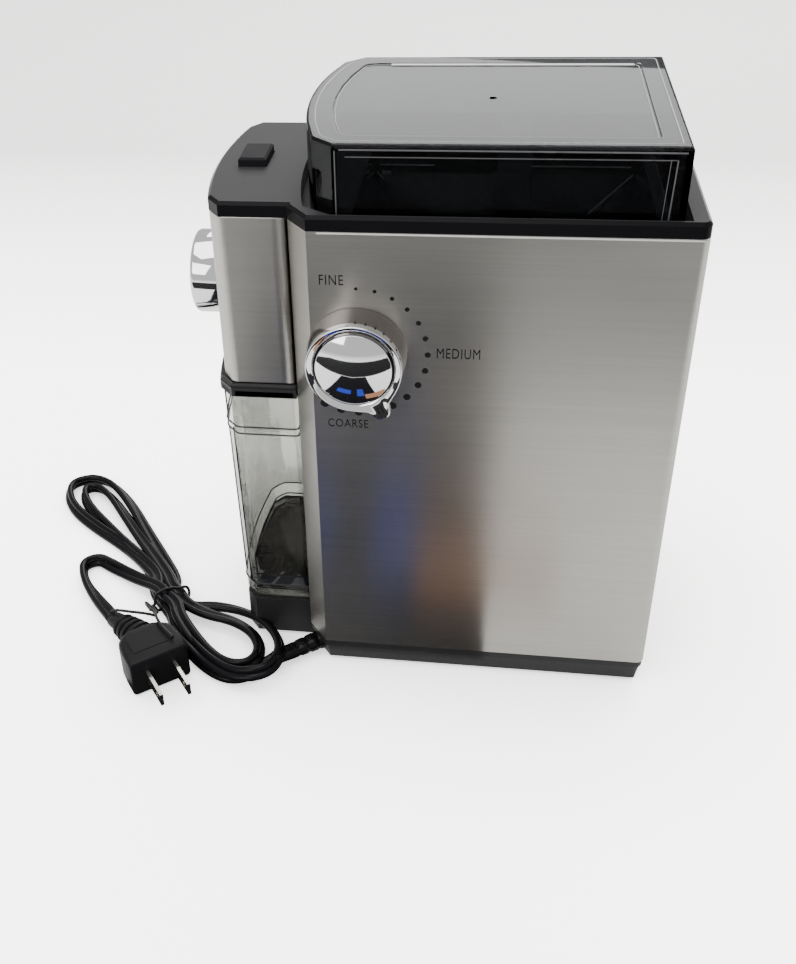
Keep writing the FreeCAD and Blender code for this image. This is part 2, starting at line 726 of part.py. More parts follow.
cover = new_body("top_cover")
sketch = new_sketch(cover, height="steel_top")
half_cover = [
    ("nose_slope_half", "nose_slope"),
    ("nose_half", "nose_side"),
    ("nose_half", "casing_front"),
    ("slope_half", "casing_front"),
    ("casing_half", "slope_back"),
    ("casing_half", "casing_back - back_round", "back_round"),
    ("casing_half - back_round", "casing_back"),
]
other_half = [(flip(point[0]), point[1]) for point in reversed(half_cover)]
other_half[0] = other_half[0] + ("back_round",)
other_half[-1] = other_half[-1] + ("nose_bow",)
outline(sketch, half_cover + other_half)
pad(cover, sketch, "cover_top - steel_top")
soften(cover, "Chamfer", level_at("cover_top"), "cover_bevel")
sketch = new_sketch(cover, height="ledge_top - ledge_thick")
outline(sketch, bowed_outline("well", "well_wall", "well_back + well_wall"))
pad(cover, sketch, "steel_top - ledge_top + ledge_thick")
sketch = new_sketch(cover, height="cover_top")
outline(sketch, bowed_outline("well", "0", "well_back"))
pocket(cover, sketch, "cover_top - ledge_top")
sketch = new_sketch(cover, height="ledge_top")
rectangle(sketch, "-hopper_half", "hopper_half", "hopper_front", "hopper_back")
pocket(cover, sketch, "ledge_thick")
sketch = new_sketch(cover, height="steel_top")
outline(sketch, nose_outline("2.5", "casing_front - 3"))
pocket(cover, sketch, "cover_top - cover_skin - steel_top", upward=True)
sketch = new_sketch(cover, height="cover_top")
rectangle(sketch, "-button_half_x - button_gap", "button_half_x + button_gap",
          "button_y - button_half_y - button_gap", "button_y + button_half_y + button_gap")
pocket(cover, sketch, "cover_skin")
sketch = new_sketch(cover, height="ledge_top - ledge_thick")
for sign in ("", "-"):
    for y in ("hopper_front + 4", "hopper_back - 9"):
        circle(sketch, sign + "hopper_half + " + sign + "4.6", y, "1.6")
pocket(cover, sketch, "ledge_thick - 0.4", upward=True)

nose_floor = new_body("front_unit_floor")
sketch = new_sketch(nose_floor, height="nose_foot + 0.1")
outline(sketch, nose_outline("1.125*steel"))
pad(nose_floor, sketch, "2.3")
sketch = new_sketch(nose_floor, height="nose_foot + 0.1")
rectangle(sketch, "chute_wall - chute_half", "chute_half - chute_wall",
          "chute_front + chute_wall", "outlet_back")
pocket(nose_floor, sketch, "2.3", upward=True)
sketch = new_sketch(nose_floor, height="nose_foot + 2.4")
for sign in ("", "-"):
    for y in ("casing_front - 5", "nose_side + 4"):
        circle(sketch, sign + "36", y, "2.6")
pad(nose_floor, sketch, "board_foot - nose_foot - 2.4")

# ---------------------------------------------------------------- hopper and lid

hopper = new_body("bean_hopper")
sketch = new_sketch(hopper, height="ledge_top - ledge_thick - 2")
rectangle(sketch, "-hopper_half - hopper_flange", "hopper_half + hopper_flange",
          "hopper_front - hopper_flange", "hopper_back + hopper_flange")
pad(hopper, sketch, "2")
sketch = new_sketch(hopper, height="hopper_knee")
rectangle(sketch, "-hopper_half - hopper_wall", "hopper_half + hopper_wall",
          "hopper_front - hopper_wall", "hopper_back + hopper_wall")
pad(hopper, sketch, "ledge_top - ledge_thick - hopper_knee")
upper = new_sketch(hopper, height="hopper_knee")
rectangle(upper, "-hopper_half - hopper_wall", "hopper_half + hopper_wall",
          "hopper_front - hopper_wall", "hopper_back + hopper_wall")
lower = new_sketch(hopper, height="throat_top - hopper_wall")
rectangle(lower, "-throat_half - hopper_wall", "throat_half + hopper_wall",
          "burr_y - throat_half - hopper_wall", "burr_y + throat_half + hopper_wall")
loft(hopper, "AdditiveLoft", [upper, lower])
upper = new_sketch(hopper, height="hopper_knee")
rectangle(upper, "-hopper_half", "hopper_half", "hopper_front", "hopper_back")
lower = new_sketch(hopper, height="throat_top")
rectangle(lower, "-throat_half", "throat_half", "burr_y - throat_half",
          "burr_y + throat_half")
loft(hopper, "SubtractiveLoft", [upper, lower])
sketch = new_sketch(hopper, height="hopper_knee")
rectangle(sketch, "-hopper_half", "hopper_half", "hopper_front", "hopper_back")
pocket(hopper, sketch, "ledge_top - ledge_thick - hopper_knee", upward=True)
sketch = new_sketch(hopper, height="throat_top")
circle(sketch, "0", "burr_y", "throat_bore")
pocket(hopper, sketch, "hopper_wall")
sketch = new_sketch(hopper, height="throat_top + 2")
rectangle(sketch, "-throat_bore - 2.2", "throat_bore + 2.2", "burr_y - 2.4", "burr_y + 2.4")
pocket(hopper, sketch, "hopper_wall + 2")
sketch = new_sketch(hopper, height="ledge_top - ledge_thick - 2")
for sign in ("", "-"):
    for y in ("hopper_front + 4", "hopper_back - 9"):
        circle(sketch, sign + "hopper_half + " + sign + "4.6", y, "1.6")
pocket(hopper, sketch, "2", upward=True)

cover_screws = []
for sign in "+-":
    for y in ("hopper_front + 4", "hopper_back - 9"):
        x = "middle_x " + sign + " hopper_half " + sign + " 4.6"
        foot = "ledge_top - ledge_thick - 3.6"
        cover_screws.append(screw(x, y, foot, "2.4", "1.6", "1.5", "3.4"))
keep(group(cover_screws), "hopper_screws")

lid = new_body("hopper_lid")
sketch = new_sketch(lid, height="lid_foot")
outline(sketch, bowed_outline("lid", "0", "lid_back"))
pad(lid, sketch, "lid_top - lid_foot")
hollow(lid, ["lid_foot"], "lid_wall")
soften(lid, "Fillet", lambda box: box.ZLength < 1e-4 and abs(box.ZMin - value("lid_top")) < 1e-3,
       "1.2")
sketch = new_sketch(lid, height="lid_top")
outline(sketch, bowed_outline("lid", "-lid_panel_inset", "lid_back - lid_panel_inset"))
pocket(lid, sketch, "lid_panel_sink")
sketch = new_sketch(lid, height="lid_top - lid_panel_sink")
circle(sketch, "0", "burr_y - 9", "1.4")
pocket(lid, sketch, "0.8")

# ---------------------------------------------------------------- decks and columns

DECK_HOLES = {
    "lower": [("burr_y", "bearing_radius"), ("motor_y", "bearing_radius")],
    "upper": [("burr_y", "chamber_hub + 0.1")],
}
for level, holes in DECK_HOLES.items():
    deck = new_body(level + "_deck")
    sketch = new_sketch(deck, height=level + "_deck_foot")
    rectangle(sketch, "-deck_half", "deck_half", "deck_front", "deck_back")
    pad(deck, sketch, "deck_thick")
    if level == "lower":
        posts = new_sketch(deck, height="stator_foot + stator_height")
        for x in ("motor_bolt", "-motor_bolt"):
            for y in ("motor_y + motor_bolt", "motor_y - motor_bolt"):
                circle(posts, x, y, "4")
        pad(deck, posts, "lower_deck_foot - stator_foot - stator_height")
    sketch = new_sketch(deck, height=level + "_deck_foot")
    for y, radius in holes:
        circle(sketch, "0", y, radius + " + 0.02")
    pocket(deck, sketch, "deck_thick", upward=True)
    if level == "lower":
        sketch = new_sketch(deck, height="stator_foot + stator_height")
        for x in ("motor_bolt", "-motor_bolt"):
            for y in ("motor_y + motor_bolt", "motor_y - motor_bolt"):
                circle(sketch, x, y, "1.9")
        pocket(deck, sketch, "lower_deck_foot + deck_thick - stator_foot - stator_height",
               upward=True)

columns = []
for x, y in four("column_x", "column_front", "column_back"):
    columns.append(rod((x, y, "steel_foot"), "column_radius", "lower_deck_foot - steel_foot"))
    columns.append(rod((x, y, "lower_deck_foot + deck_thick"), "column_radius",
                       "upper_deck_foot - lower_deck_foot - deck_thick"))
    columns.append(rod((x, y, "upper_deck_foot + deck_thick"), "column_radius",
                       "ledge_top - ledge_thick - 2 - upper_deck_foot - deck_thick"))
keep(group(columns), "deck_columns")

# ---------------------------------------------------------------- gears

PRESSURE_ANGLE = math.radians(25)
ADDENDUM = 0.75
DEDENDUM = 1.0
BACKLASH = 0.07


def involute(angle):
    return math.tan(angle) - angle


def gear_shape(teeth, module, width, bore, first_tooth):
    """A spur gear about +Z with a tooth centred on the angle first_tooth (degrees)."""
    pitch_radius = teeth * module / 2
    base_radius = pitch_radius * math.cos(PRESSURE_ANGLE)
    tip_radius = pitch_radius + ADDENDUM * module
    root_radius = pitch_radius - DEDENDUM * module
    half_pitch = math.pi / (2 * teeth) - BACKLASH / pitch_radius
    low = max(root_radius, base_radius)
    flank = []
    for step in range(5):
        radius = low + (tip_radius - low) * step / 4
        half = half_pitch + involute(PRESSURE_ANGLE) - involute(math.acos(base_radius / radius))
        flank.append((radius, half))
    if root_radius < base_radius:
        flank.insert(0, (root_radius, flank[0][1]))
    points = []
    for tooth in range(int(teeth)):
        middle = math.radians(first_tooth) + 2 * math.pi * tooth / teeth
        for radius, half in flank:
            points.append((radius, middle - half))
        for radius, half in reversed(flank):
            points.append((radius, middle + half))
    spots = [FreeCAD.Vector(r * math.cos(a), r * math.sin(a), 0) for r, a in points]
    face = Part.Face(Part.makePolygon(spots + spots[:1]))
    blank = face.extrude(FreeCAD.Vector(0, 0, width))
    return blank.cut(Part.makeCylinder(bore, width)) if bore else blank


def rack_teeth(module, centres):
    """The outline of rack teeth along the first axis, pointing along the second, with the
    pitch line at zero: a list of four points for each tooth."""
    half = module * math.pi / 4 - BACKLASH
    slope = math.tan(PRESSURE_ANGLE)
    tip = ADDENDUM * module
    root = DEDENDUM * module
    teeth = []
    for centre in centres:
        teeth.append([(centre - half - root * slope, -root), (centre - half + tip * slope, tip),
                      (centre + half - tip * slope, tip), (centre + half + root * slope, -root)])
    return teeth


# ---------------------------------------------------------------- burrs and their drive

AXIS = ("middle_x", "burr_y", "0")


def radial_grooves(body, height, depth, upward):
    """Cut the burr's slanting grooves into one face."""
    sketch = new_sketch(body, height=height)
    outline(sketch, [("burr_throat - 2", "1"), ("burr_radius + 2", "5"),
                     ("burr_radius + 2", "5 + groove_width"), ("burr_throat - 2", "1 + groove_width")])
    feature = pocket(body, sketch, depth, upward)
    repeat(body, feature, sketch, "groove_count")


lower_burr = new_body("lower_burr", AXIS)
sketch = new_sketch(lower_burr, height="lower_burr_foot")
circle(sketch, "0", "0", "burr_radius")
circle(sketch, "0", "0", "hub_radius")
pad(lower_burr, sketch, "burr_height")
radial_grooves(lower_burr, "lower_burr_foot + burr_height", "groove_depth", False)

upper_burr = new_body("upper_burr", AXIS)
sketch = new_sketch(upper_burr, height="upper_burr_foot")
circle(sketch, "0", "0", "burr_radius")
circle(sketch, "0", "0", "burr_throat")
pad(upper_burr, sketch, "burr_height")
radial_grooves(upper_burr, "upper_burr_foot", "groove_depth", True)

impeller = new_body("grounds_impeller", AXIS)
sketch = new_sketch(impeller, "XZ_Plane")
outline(sketch, [
    ("spindle_radius", "impeller_foot"),
    ("8", "impeller_foot"),
    ("8", "impeller_foot + 2"),
    ("burr_radius", "impeller_foot + 2"),
    ("burr_radius", "lower_burr_foot"),
    ("hub_radius - 0.1", "lower_burr_foot"),
    ("hub_radius - 0.1", "lower_burr_foot + burr_height - 0.5"),
    ("spindle_radius", "lower_burr_foot + burr_height - 0.5"),
])
revolve(impeller, "Revolution", sketch)
sketch = new_sketch(impeller, height="impeller_foot")
rectangle(sketch, "burr_radius - 6", "impeller_radius", "-1.5", "1.5")
vane = pad(impeller, sketch, "lower_burr_foot - impeller_foot")
repeat(impeller, vane, sketch, "6")

keep(rod(("middle_x", "burr_y", "spindle_foot"), "spindle_radius", "169 - spindle_foot"),
     "burr_spindle")

nut = new_body("burr_nut", AXIS)
sketch = new_sketch(nut, height="lower_burr_foot + burr_height")
outline(sketch, [("5.8", "0"), ("2.9", "5.02"), ("-2.9", "5.02"), ("-5.8", "0"),
                 ("-2.9", "-5.02"), ("2.9", "-5.02")])
circle(sketch, "0", "0", "spindle_radius")
pad(nut, sketch, "4")
sketch = new_sketch(nut, height="lower_burr_foot + burr_height")
circle(sketch, "0", "0", "8")
circle(sketch, "0", "0", "spindle_radius")
pad(nut, sketch, "1")

gear = gear_shape(sheet.gear_teeth, sheet.gear_module, sheet.gear_width, sheet.spindle_radius, 90)
solid(gear, "spindle_gear", ("middle_x", "burr_y", "gear_foot"))

lower_bearing = tube(("middle_x", "burr_y", "lower_deck_foot"), "bearing_radius",
                     "spindle_radius + running_gap", "5")
upper_bearing = tube(("middle_x", "burr_y", "upper_deck_foot + 1"), "bearing_radius",
                     "spindle_radius + running_gap", "10")
keep(group([lower_bearing, upper_bearing]), "spindle_bearings")

chamber = new_body("grinding_chamber", AXIS)
sketch = new_sketch(chamber, "XZ_Plane")
outline(sketch, [
    ("bearing_radius + 0.02", "upper_deck_foot"),
    ("chamber_hub", "upper_deck_foot"),
    ("chamber_hub", "chamber_foot"),
    ("chamber_radius", "chamber_foot"),
    ("chamber_radius", "chamber_top"),
    ("chamber_bore", "chamber_top"),
    ("chamber_bore", "chamber_foot + chamber_floor"),
    ("chamber_hub", "chamber_foot + chamber_floor"),
    ("chamber_hub", "upper_deck_foot + 11.5"),
    ("bearing_radius + 0.02", "upper_deck_foot + 11.5"),
])
revolve(chamber, "Revolution", sketch)
sketch = new_sketch(chamber, height="chamber_foot + chamber_floor")
rectangle(sketch, "chute_wall - chute_half", "chute_half - chute_wall",
          "-chamber_radius - 1", "4 - chamber_bore")
pocket(chamber, sketch, "chute_top - 2*chute_wall - chamber_foot - chamber_floor + chute_wall",
       upward=True)

chute = block("middle_x - chute_half", "middle_x + chute_half", "chute_front", "burr_y - 27",
              "chute_foot", "chute_top")
chute_bore = block("middle_x - chute_half + chute_wall", "middle_x + chute_half - chute_wall",
                   "chute_front + chute_wall", "burr_y", "chute_foot + chute_wall",
                   "chute_top - chute_wall")
outlet = block("middle_x - chute_half + chute_wall", "middle_x + chute_half - chute_wall",
               "chute_front + chute_wall", "outlet_back", "chute_foot - 1", "chute_top - 3")
chamber_room = rod(("middle_x", "burr_y", "chute_foot - 1"), "chamber_radius + 0.1", "20")
keep(cut(chute, [chute_bore, outlet, chamber_room]), "grounds_chute")

# ---------------------------------------------------------------- burr adjustment

ring = gear_shape(sheet.ring_teeth, sheet.ring_module, sheet.ring_height, 0, 0)
ring_room = Part.makeCylinder(sheet.ring_bore, sheet.ring_height,
                              FreeCAD.Vector(0, 0, sheet.ring_lip))
lip_room = Part.makeCylinder(sheet.seat_bore + 1.2, sheet.ring_height)
solid(ring.cut(ring_room.fuse(lip_room)), "adjusting_ring", ("middle_x", "burr_y", "ring_foot"))

keep(tube(("middle_x", "burr_y", "seat_foot"), "seat_radius", "seat_bore", "seat_height"),
     "burr_seat_ring")

carrier = new_body("burr_carrier", AXIS)
sketch = new_sketch(carrier, "XZ_Plane")
outline(sketch, [
    ("burr_radius + 0.1", "carrier_foot"),
    ("seat_bore - 0.6", "carrier_foot"),
    ("seat_bore - 0.6", "seat_foot + seat_height + 0.3"),
    ("carrier_radius", "seat_foot + seat_height + 0.3"),
    ("carrier_radius", "carrier_top"),
    ("28.4", "carrier_top"),
    ("burr_throat + 0.2", "173"),
    ("burr_throat + 0.2", "upper_burr_foot + burr_height"),
    ("burr_radius + 0.1", "upper_burr_foot + burr_height"),
])
revolve(carrier, "Revolution", sketch)
for side in (("carrier_radius - 1", "throat_bore + 1.9"),
             ("-throat_bore - 1.9", "1 - carrier_radius")):
    sketch = new_sketch(carrier, height="carrier_top - 3.5")
    rectangle(sketch, side[0], side[1], "-2", "2")
    pad(carrier, sketch, "3.5")

bail = new_body("burr_handle", AXIS)
sketch = new_sketch(bail, "XZ_Plane", "-handle_width/2")
outline(sketch, [
    ("handle_half - handle_thick", "carrier_top"),
    ("handle_half", "carrier_top"),
    ("handle_half", "handle_top - 18"),
    ("handle_half - 14", "handle_top"),
    ("14 - handle_half", "handle_top"),
    ("-handle_half", "handle_top - 18"),
    ("-handle_half", "carrier_top"),
    ("handle_thick - handle_half", "carrier_top"),
    ("handle_thick - handle_half", "handle_top - 19"),
    ("15.5 - handle_half", "handle_top - handle_thick"),
    ("handle_half - 15.5", "handle_top - handle_thick"),
    ("handle_half - handle_thick", "handle_top - 19"),
])
pad(bail, sketch, "handle_width")
soften(bail, "Fillet", lambda box: box.YLength > 5 and box.ZMin > value("handle_top - 20"), "1.4")

side_module = sheet.ring_module
top_module = sheet.dial_module
pitch_x = side_module * sheet.ring_teeth / 2
pitch_z = sheet.dial_z - top_module * sheet.dial_teeth / 2
bar_inner = pitch_x + DEDENDUM * side_module
bar_top = pitch_z - DEDENDUM * top_module
bar_width = sheet.rack_outer - bar_inner


def box_between(low, high):
    size = [high[axis] - low[axis] for axis in range(3)]
    return Part.makeBox(size[0], size[1], size[2], FreeCAD.Vector(*low))


low_bar = box_between((bar_inner, sheet.rack_front, sheet.rack_foot),
                      (sheet.rack_outer, sheet.rack_rise + 6, bar_top))
riser = box_between((bar_inner, sheet.rack_rise, sheet.rack_foot),
                    (sheet.rack_outer, sheet.rack_rise + 6, sheet.rack_top))
high_bar = box_between((bar_inner, sheet.rack_rise, sheet.ring_foot + 1),
                       (sheet.rack_outer, sheet.rack_back, sheet.rack_top))
rack = low_bar.fuse(riser).fuse(high_bar)
side_pitch = math.pi * side_module
for tooth in rack_teeth(side_module, [sheet.burr_y + (index + 0.5) * side_pitch
                                      for index in range(-4, 3)]):
    spots = [FreeCAD.Vector(pitch_x - reach + (0.05 if reach < 0 else 0), along,
                            sheet.ring_foot + 1) for along, reach in tooth]
    face = Part.Face(Part.makePolygon(spots + spots[:1]))
    rack = rack.fuse(face.extrude(FreeCAD.Vector(0, 0, sheet.rack_top - sheet.ring_foot - 1)))
top_pitch = math.pi * top_module
for tooth in rack_teeth(top_module, [sheet.dial_y + index * top_pitch for index in range(-4, 4)]):
    spots = [FreeCAD.Vector(bar_inner, along, pitch_z + reach - (0.05 if reach < 0 else 0))
             for along, reach in tooth]
    face = Part.Face(Part.makePolygon(spots + spots[:1]))
    rack = rack.fuse(face.extrude(FreeCAD.Vector(bar_width, 0, 0)))
solid(rack.removeSplitter(), "adjusting_rack", ("middle_x", "0", "0"))

dial_pinion = gear_shape(sheet.dial_teeth, sheet.dial_module, bar_width - 0.6, 0, 22.5)
dial_pinion.translate(FreeCAD.Vector(0, 0, bar_inner + 0.3))
shaft = Part.makeCylinder(sheet.dial_shaft, 28.5, FreeCAD.Vector(0, 0, 39))
dial_shaft = shaft.fuse(dial_pinion).removeSplitter()
feature = document.addObject("Part::Feature", "dial_shaft")
feature.Shape = dial_shaft
place(feature, ("middle_x", "dial_y", "dial_z"), TURNS["x"])
keep(feature, "dial_shaft")

bracket_base = block("middle_x + 39.4", "middle_x + 54", "dial_y - 8", "dial_y + 8",
                     "chamber_foot", "rack_foot - 0.4")
bracket_inner = block("middle_x + 39.4", "middle_x + 42.2", "dial_y - 8", "dial_y + 8",
                      "rack_foot - 0.4", "dial_z + 6")
bracket_outer = block("middle_x + 49.8", "middle_x + 54", "dial_y - 8", "dial_y + 8",
                      "rack_foot - 0.4", "dial_z + 6")
shaft_room = rod(("middle_x + 39", "dial_y", "dial_z"), "dial_shaft + running_gap", "16", "x")
keep(cut(join([bracket_base, bracket_inner, bracket_outer]), [shaft_room]), "dial_bracket")

# ---------------------------------------------------------------- controls

dial = new_body("grind_dial", ("middle_x + casing_half", "dial_y", "dial_z"), TURNS["x"])
sketch = new_sketch(dial, "XZ_Plane")
outline(sketch, [
    ("dial_shaft", "dial_gap"),
    ("dial_base_radius", "dial_gap"),
    ("dial_face_radius + 0.1", "dial_height - 0.9"),
    ("dial_face_radius - 0.7", "dial_height"),
    ("dial_cap_radius + 0.7", "dial_height"),
    ("dial_cap_radius + 0.7", "dial_height - 0.9"),
    ("dial_cap_radius", "dial_height - 0.9"),
    ("dial_cap_radius", "dial_crown - dial_dome", "dial_dome_radius"),
    ("0", "dial_crown"),
    ("0", "10.6"),
    ("dial_shaft", "10.6"),
])
revolve(dial, "Revolution", sketch)
sketch = turned_sketch(dial, ("0", "0", "4"), (0, 0, 1), 30)
outline(sketch, [
    ("14", "-10.6"), ("dial_face_radius - 0.3", "-6.4"), ("pointer_reach - 0.8", "-2.7"),
    ("pointer_reach", "-1.5"), ("pointer_reach", "1.5"), ("pointer_reach - 0.8", "2.7"),
    ("dial_face_radius - 0.3", "6.4"), ("14", "10.6"),
])
pad(dial, sketch, "dial_height - 5")

KNOB_AT = ("middle_x", "knob_back", "knob_z")
knob = new_body("quantity_knob", KNOB_AT, TURNS["-y"])
sketch = new_sketch(knob, "XZ_Plane")
outline(sketch, [
    ("dial_shaft", "0"),
    ("knob_radius - 0.4", "0"),
    ("knob_radius", "0.6"),
    ("knob_radius", "knob_length - 1.6"),
    ("knob_radius - 0.5", "knob_length - 0.5"),
    ("knob_radius - 1.6", "knob_length"),
    ("0", "knob_length"),
    ("0", "knob_length - 2.5"),
    ("dial_shaft", "knob_length - 2.5"),
])
revolve(knob, "Revolution", sketch)
keep(rod(("middle_x", "-71.9", "knob_z"), "dial_shaft", "knob_length - 2.6 - 71.9 - knob_back",
         "-y"), "timer_shaft")
timer_box = block("middle_x - 9", "middle_x + 9", "-81.8", "-70", "chute_top + 0.5",
                  "knob_z + 8.6")
timer_room = rod(("middle_x", "-71.8", "knob_z"), "dial_shaft + running_gap", "12", "-y")
keep(cut(timer_box, [timer_room]), "timer_control")

button = new_body("start_button", ("middle_x", "button_y", "0"))
sketch = new_sketch(button, height="cover_top - cover_skin - 2.2")
rectangle(sketch, "-button_half_x", "button_half_x", "-button_half_y", "button_half_y")
pad(button, sketch, "button_top - cover_top + cover_skin + 2.2")
soften(button, "Chamfer", level_at("button_top"), "0.8")
sketch = new_sketch(button, height="cover_top - cover_skin - 2.2")
rectangle(sketch, "-button_half_x - 1.8", "button_half_x + 1.8",
          "-button_half_y - 1.8", "button_half_y + 1.8")
pad(button, sketch, "1.8")
sketch = new_sketch(button, height="cover_top - cover_skin - 2.2")
circle(sketch, "0", "0", "2.2")
stem = extrude(button, "Pad", sketch, "6.2", False)

switch = block("middle_x - 6.5", "middle_x + 6.5", "button_y - 3.4", "button_y + 3.4",
               "board_foot + board_thick", "202.2")
plunger = rod(("middle_x", "button_y", "202.2"), "1.4", "0.8")
keep(join([switch, plunger]), "start_switch")

board = block("middle_x - 40", "middle_x + 40", "-77", "-52", "board_foot",
              "board_foot + board_thick")
relay = block("middle_x + 15", "middle_x + 33", "-72", "-58", "board_foot + board_thick", "203")
capacitor = rod(("middle_x - 22", "-64", "board_foot + board_thick"), "6", "15")
terminals = block("middle_x - 38", "middle_x - 31", "-72", "-56", "board_foot + board_thick",
                  "196")
keep(join([board, relay, capacitor, terminals]), "control_board")

# ---------------------------------------------------------------- grounds container

container = new_body("grounds_container")
lower = new_sketch(container, height="bin_foot")
outline(lower, bowed_outline("bin_foot", "0", "bin_back"))
upper = new_sketch(container, height="bin_top")
outline(upper, bowed_outline("bin", "0", "bin_back"))
loft(container, "AdditiveLoft", [lower, upper])
lower = new_sketch(container, height="bin_foot + 1.2*bin_wall")
outline(lower, bowed_outline("bin_foot", "-bin_wall", "bin_back - bin_wall"))
upper = new_sketch(container, height="bin_top")
outline(upper, bowed_outline("bin", "-bin_wall", "bin_back - bin_wall"))
loft(container, "SubtractiveLoft", [lower, upper])

bin_lid = new_body("container_lid")
sketch = new_sketch(bin_lid, height="bin_lid_foot")
outline(sketch, bowed_outline("bin", "bin_lid_reach", "bin_back"))
pad(bin_lid, sketch, "bin_lid_top - bin_lid_foot - 2")
sketch = new_sketch(bin_lid, height="bin_lid_top - 2")
outline(sketch, bowed_outline("bin", "0.4", "bin_back"))
pad(bin_lid, sketch, "2")
sketch = new_sketch(bin_lid, height="bin_lid_foot")
outline(sketch, bowed_outline("bin", "0.1", "bin_back + 1"))
pocket(bin_lid, sketch, "bin_lid_top - bin_lid_plate - bin_lid_foot", upward=True)
sketch = new_sketch(bin_lid, height="bin_lid_top")
rectangle(sketch, "-chute_half", "chute_half", "chute_front", "outlet_back + 2")
pocket(bin_lid, sketch, "bin_lid_plate")

# ---------------------------------------------------------------- motor

keep(rod(("middle_x", "motor_y", "bracket_foot + 0.5"), "motor_shaft", "101.5"), "motor_shaft")
pinion = gear_shape(sheet.pinion_teeth, sheet.gear_module, 12, sheet.motor_shaft, -75)
solid(pinion, "motor_pinion", ("middle_x", "motor_y", "gear_foot - 1"))

stator = block("middle_x - stator_half", "middle_x + stator_half", "motor_y - stator_half",
               "motor_y + stator_half", "stator_foot", "stator_foot + stator_height")
stator_cuts = [rod(("middle_x", "motor_y", "stator_foot"), "stator_bore", "stator_height")]
for x in ("middle_x + 14", "middle_x - 25.5"):
    for y in ("motor_y + 6.5", "motor_y - 15"):
        stator_cuts.append(block(x, x + " + 11.5", y, y + " + 8.5", "stator_foot",
                                 "stator_foot + stator_height"))
bolt_places = [("middle_x " + one + " motor_bolt", "motor_y " + other + " motor_bolt")
               for one in "+-" for other in "+-"]
for x, y in bolt_places:
    stator_cuts.append(rod((x, y, "stator_foot"), "1.9", "stator_height"))
keep(cut(stator, stator_cuts), "stator_core")

coils = []
for left in ("middle_x + 17.5", "middle_x - 25"):
    winding = block(left, left + " + 7.5", "motor_y - 14.6", "motor_y + 14.6",
                    "stator_foot - 5", "stator_foot + stator_height + 5")
    window = block(left + " - 1", left + " + 8.5", "motor_y - 6.9", "motor_y + 6.9",
                   "stator_foot - 0.4", "stator_foot + stator_height + 0.4")
    coils.append(cut(winding, [window]))
keep(group(coils), "field_coils")

armature = new_body("armature_core", ("middle_x", "motor_y", "0"))
sketch = new_sketch(armature, height="stator_foot")
circle(sketch, "0", "0", "armature_radius")
circle(sketch, "0", "0", "motor_shaft")
pad(armature, sketch, "stator_height")
sketch = new_sketch(armature, height="stator_foot")
rectangle(sketch, "armature_radius - 5", "armature_radius + 1", "-1", "1")
slot = pocket(armature, sketch, "stator_height", upward=True)
repeat(armature, slot, sketch, "12")

lower_turns = tube(("middle_x", "motor_y", "stator_foot - 8"), "14.5", "motor_shaft + 1.5", "8")
upper_turns = tube(("middle_x", "motor_y", "stator_foot + stator_height"), "14.5",
                   "motor_shaft + 1.5", "6")
keep(group([lower_turns, upper_turns]), "armature_windings")
keep(tube(("middle_x", "motor_y", "commutator_foot"), "commutator_radius", "motor_shaft",
          "commutator_height"), "commutator")

fan = new_body("cooling_fan", ("middle_x", "motor_y", "0"))
sketch = new_sketch(fan, height="fan_foot")
circle(sketch, "0", "0", "fan_radius")
circle(sketch, "0", "0", "motor_shaft")
pad(fan, sketch, "1.5")
sketch = new_sketch(fan, height="fan_foot")
circle(sketch, "0", "0", "7")
circle(sketch, "0", "0", "motor_shaft")
pad(fan, sketch, "8")
sketch = new_sketch(fan, height="fan_foot + 1.5")
rectangle(sketch, "9", "fan_radius - 1", "-0.8", "0.8")
blade = pad(fan, sketch, "6")
repeat(fan, blade, sketch, "11")

bar = block("middle_x - 9", "middle_x + 9", "motor_y - 28", "motor_y + 28", "bracket_foot",
            "bracket_foot + bracket_thick")
legs = [block("middle_x - 9", "middle_x + 9", y, y + " + 4", "bracket_foot", "stator_foot")
        for y in ("motor_y - 28", "motor_y + 24")]
bracket_bore = rod(("middle_x", "motor_y", "bracket_foot"), "bearing_radius + 0.02",
                   "bracket_thick")
keep(cut(join([bar] + legs), [bracket_bore]), "motor_bracket")

foot_bearing = tube(("middle_x", "motor_y", "bracket_foot"), "bearing_radius",
                    "motor_shaft + running_gap", "bracket_thick")
head_bearing = tube(("middle_x", "motor_y", "lower_deck_foot - 2"), "bearing_radius",
                    "motor_shaft + running_gap", "5")
keep(group([foot_bearing, head_bearing]), "motor_bearings")

holder_parts = [tube(("middle_x", "motor_y", "bracket_foot + bracket_thick"), "20", "10", "3")]
brushes = []
for case_left, room_left, post_left, brush_left in (
        ("middle_x + 10.5", "middle_x + 8.5", "middle_x + 13", "middle_x + 9.1"),
        ("middle_x - 27", "middle_x - 29", "middle_x - 18", "middle_x - 20")):
    case = block(case_left, case_left + " + 16.5", "motor_y - 4", "motor_y + 4", "31", "38")
    room = block(room_left, room_left + " + 20.5", "motor_y - 2.6", "motor_y + 2.6", "32.4",
                 "36.6")
    holder_parts.append(cut(case, [room]))
    holder_parts.append(block(post_left, post_left + " + 5", "motor_y - 4", "motor_y + 4",
                              "bracket_foot + bracket_thick + 3", "31"))
    brushes.append(block(brush_left, brush_left + " + 10.9", "motor_y - 2.5", "motor_y + 2.5",
                         "32.5", "36.5"))
keep(join(holder_parts), "brush_holders")
keep(group(brushes), "carbon_brushes")

motor_screws = []
for x, y in bolt_places:
    motor_screws.append(screw(x, y, "stator_foot - 3", "3.2", "3", "1.8", "52.8"))
keep(group(motor_screws), "motor_screws")

# ---------------------------------------------------------------- mains lead

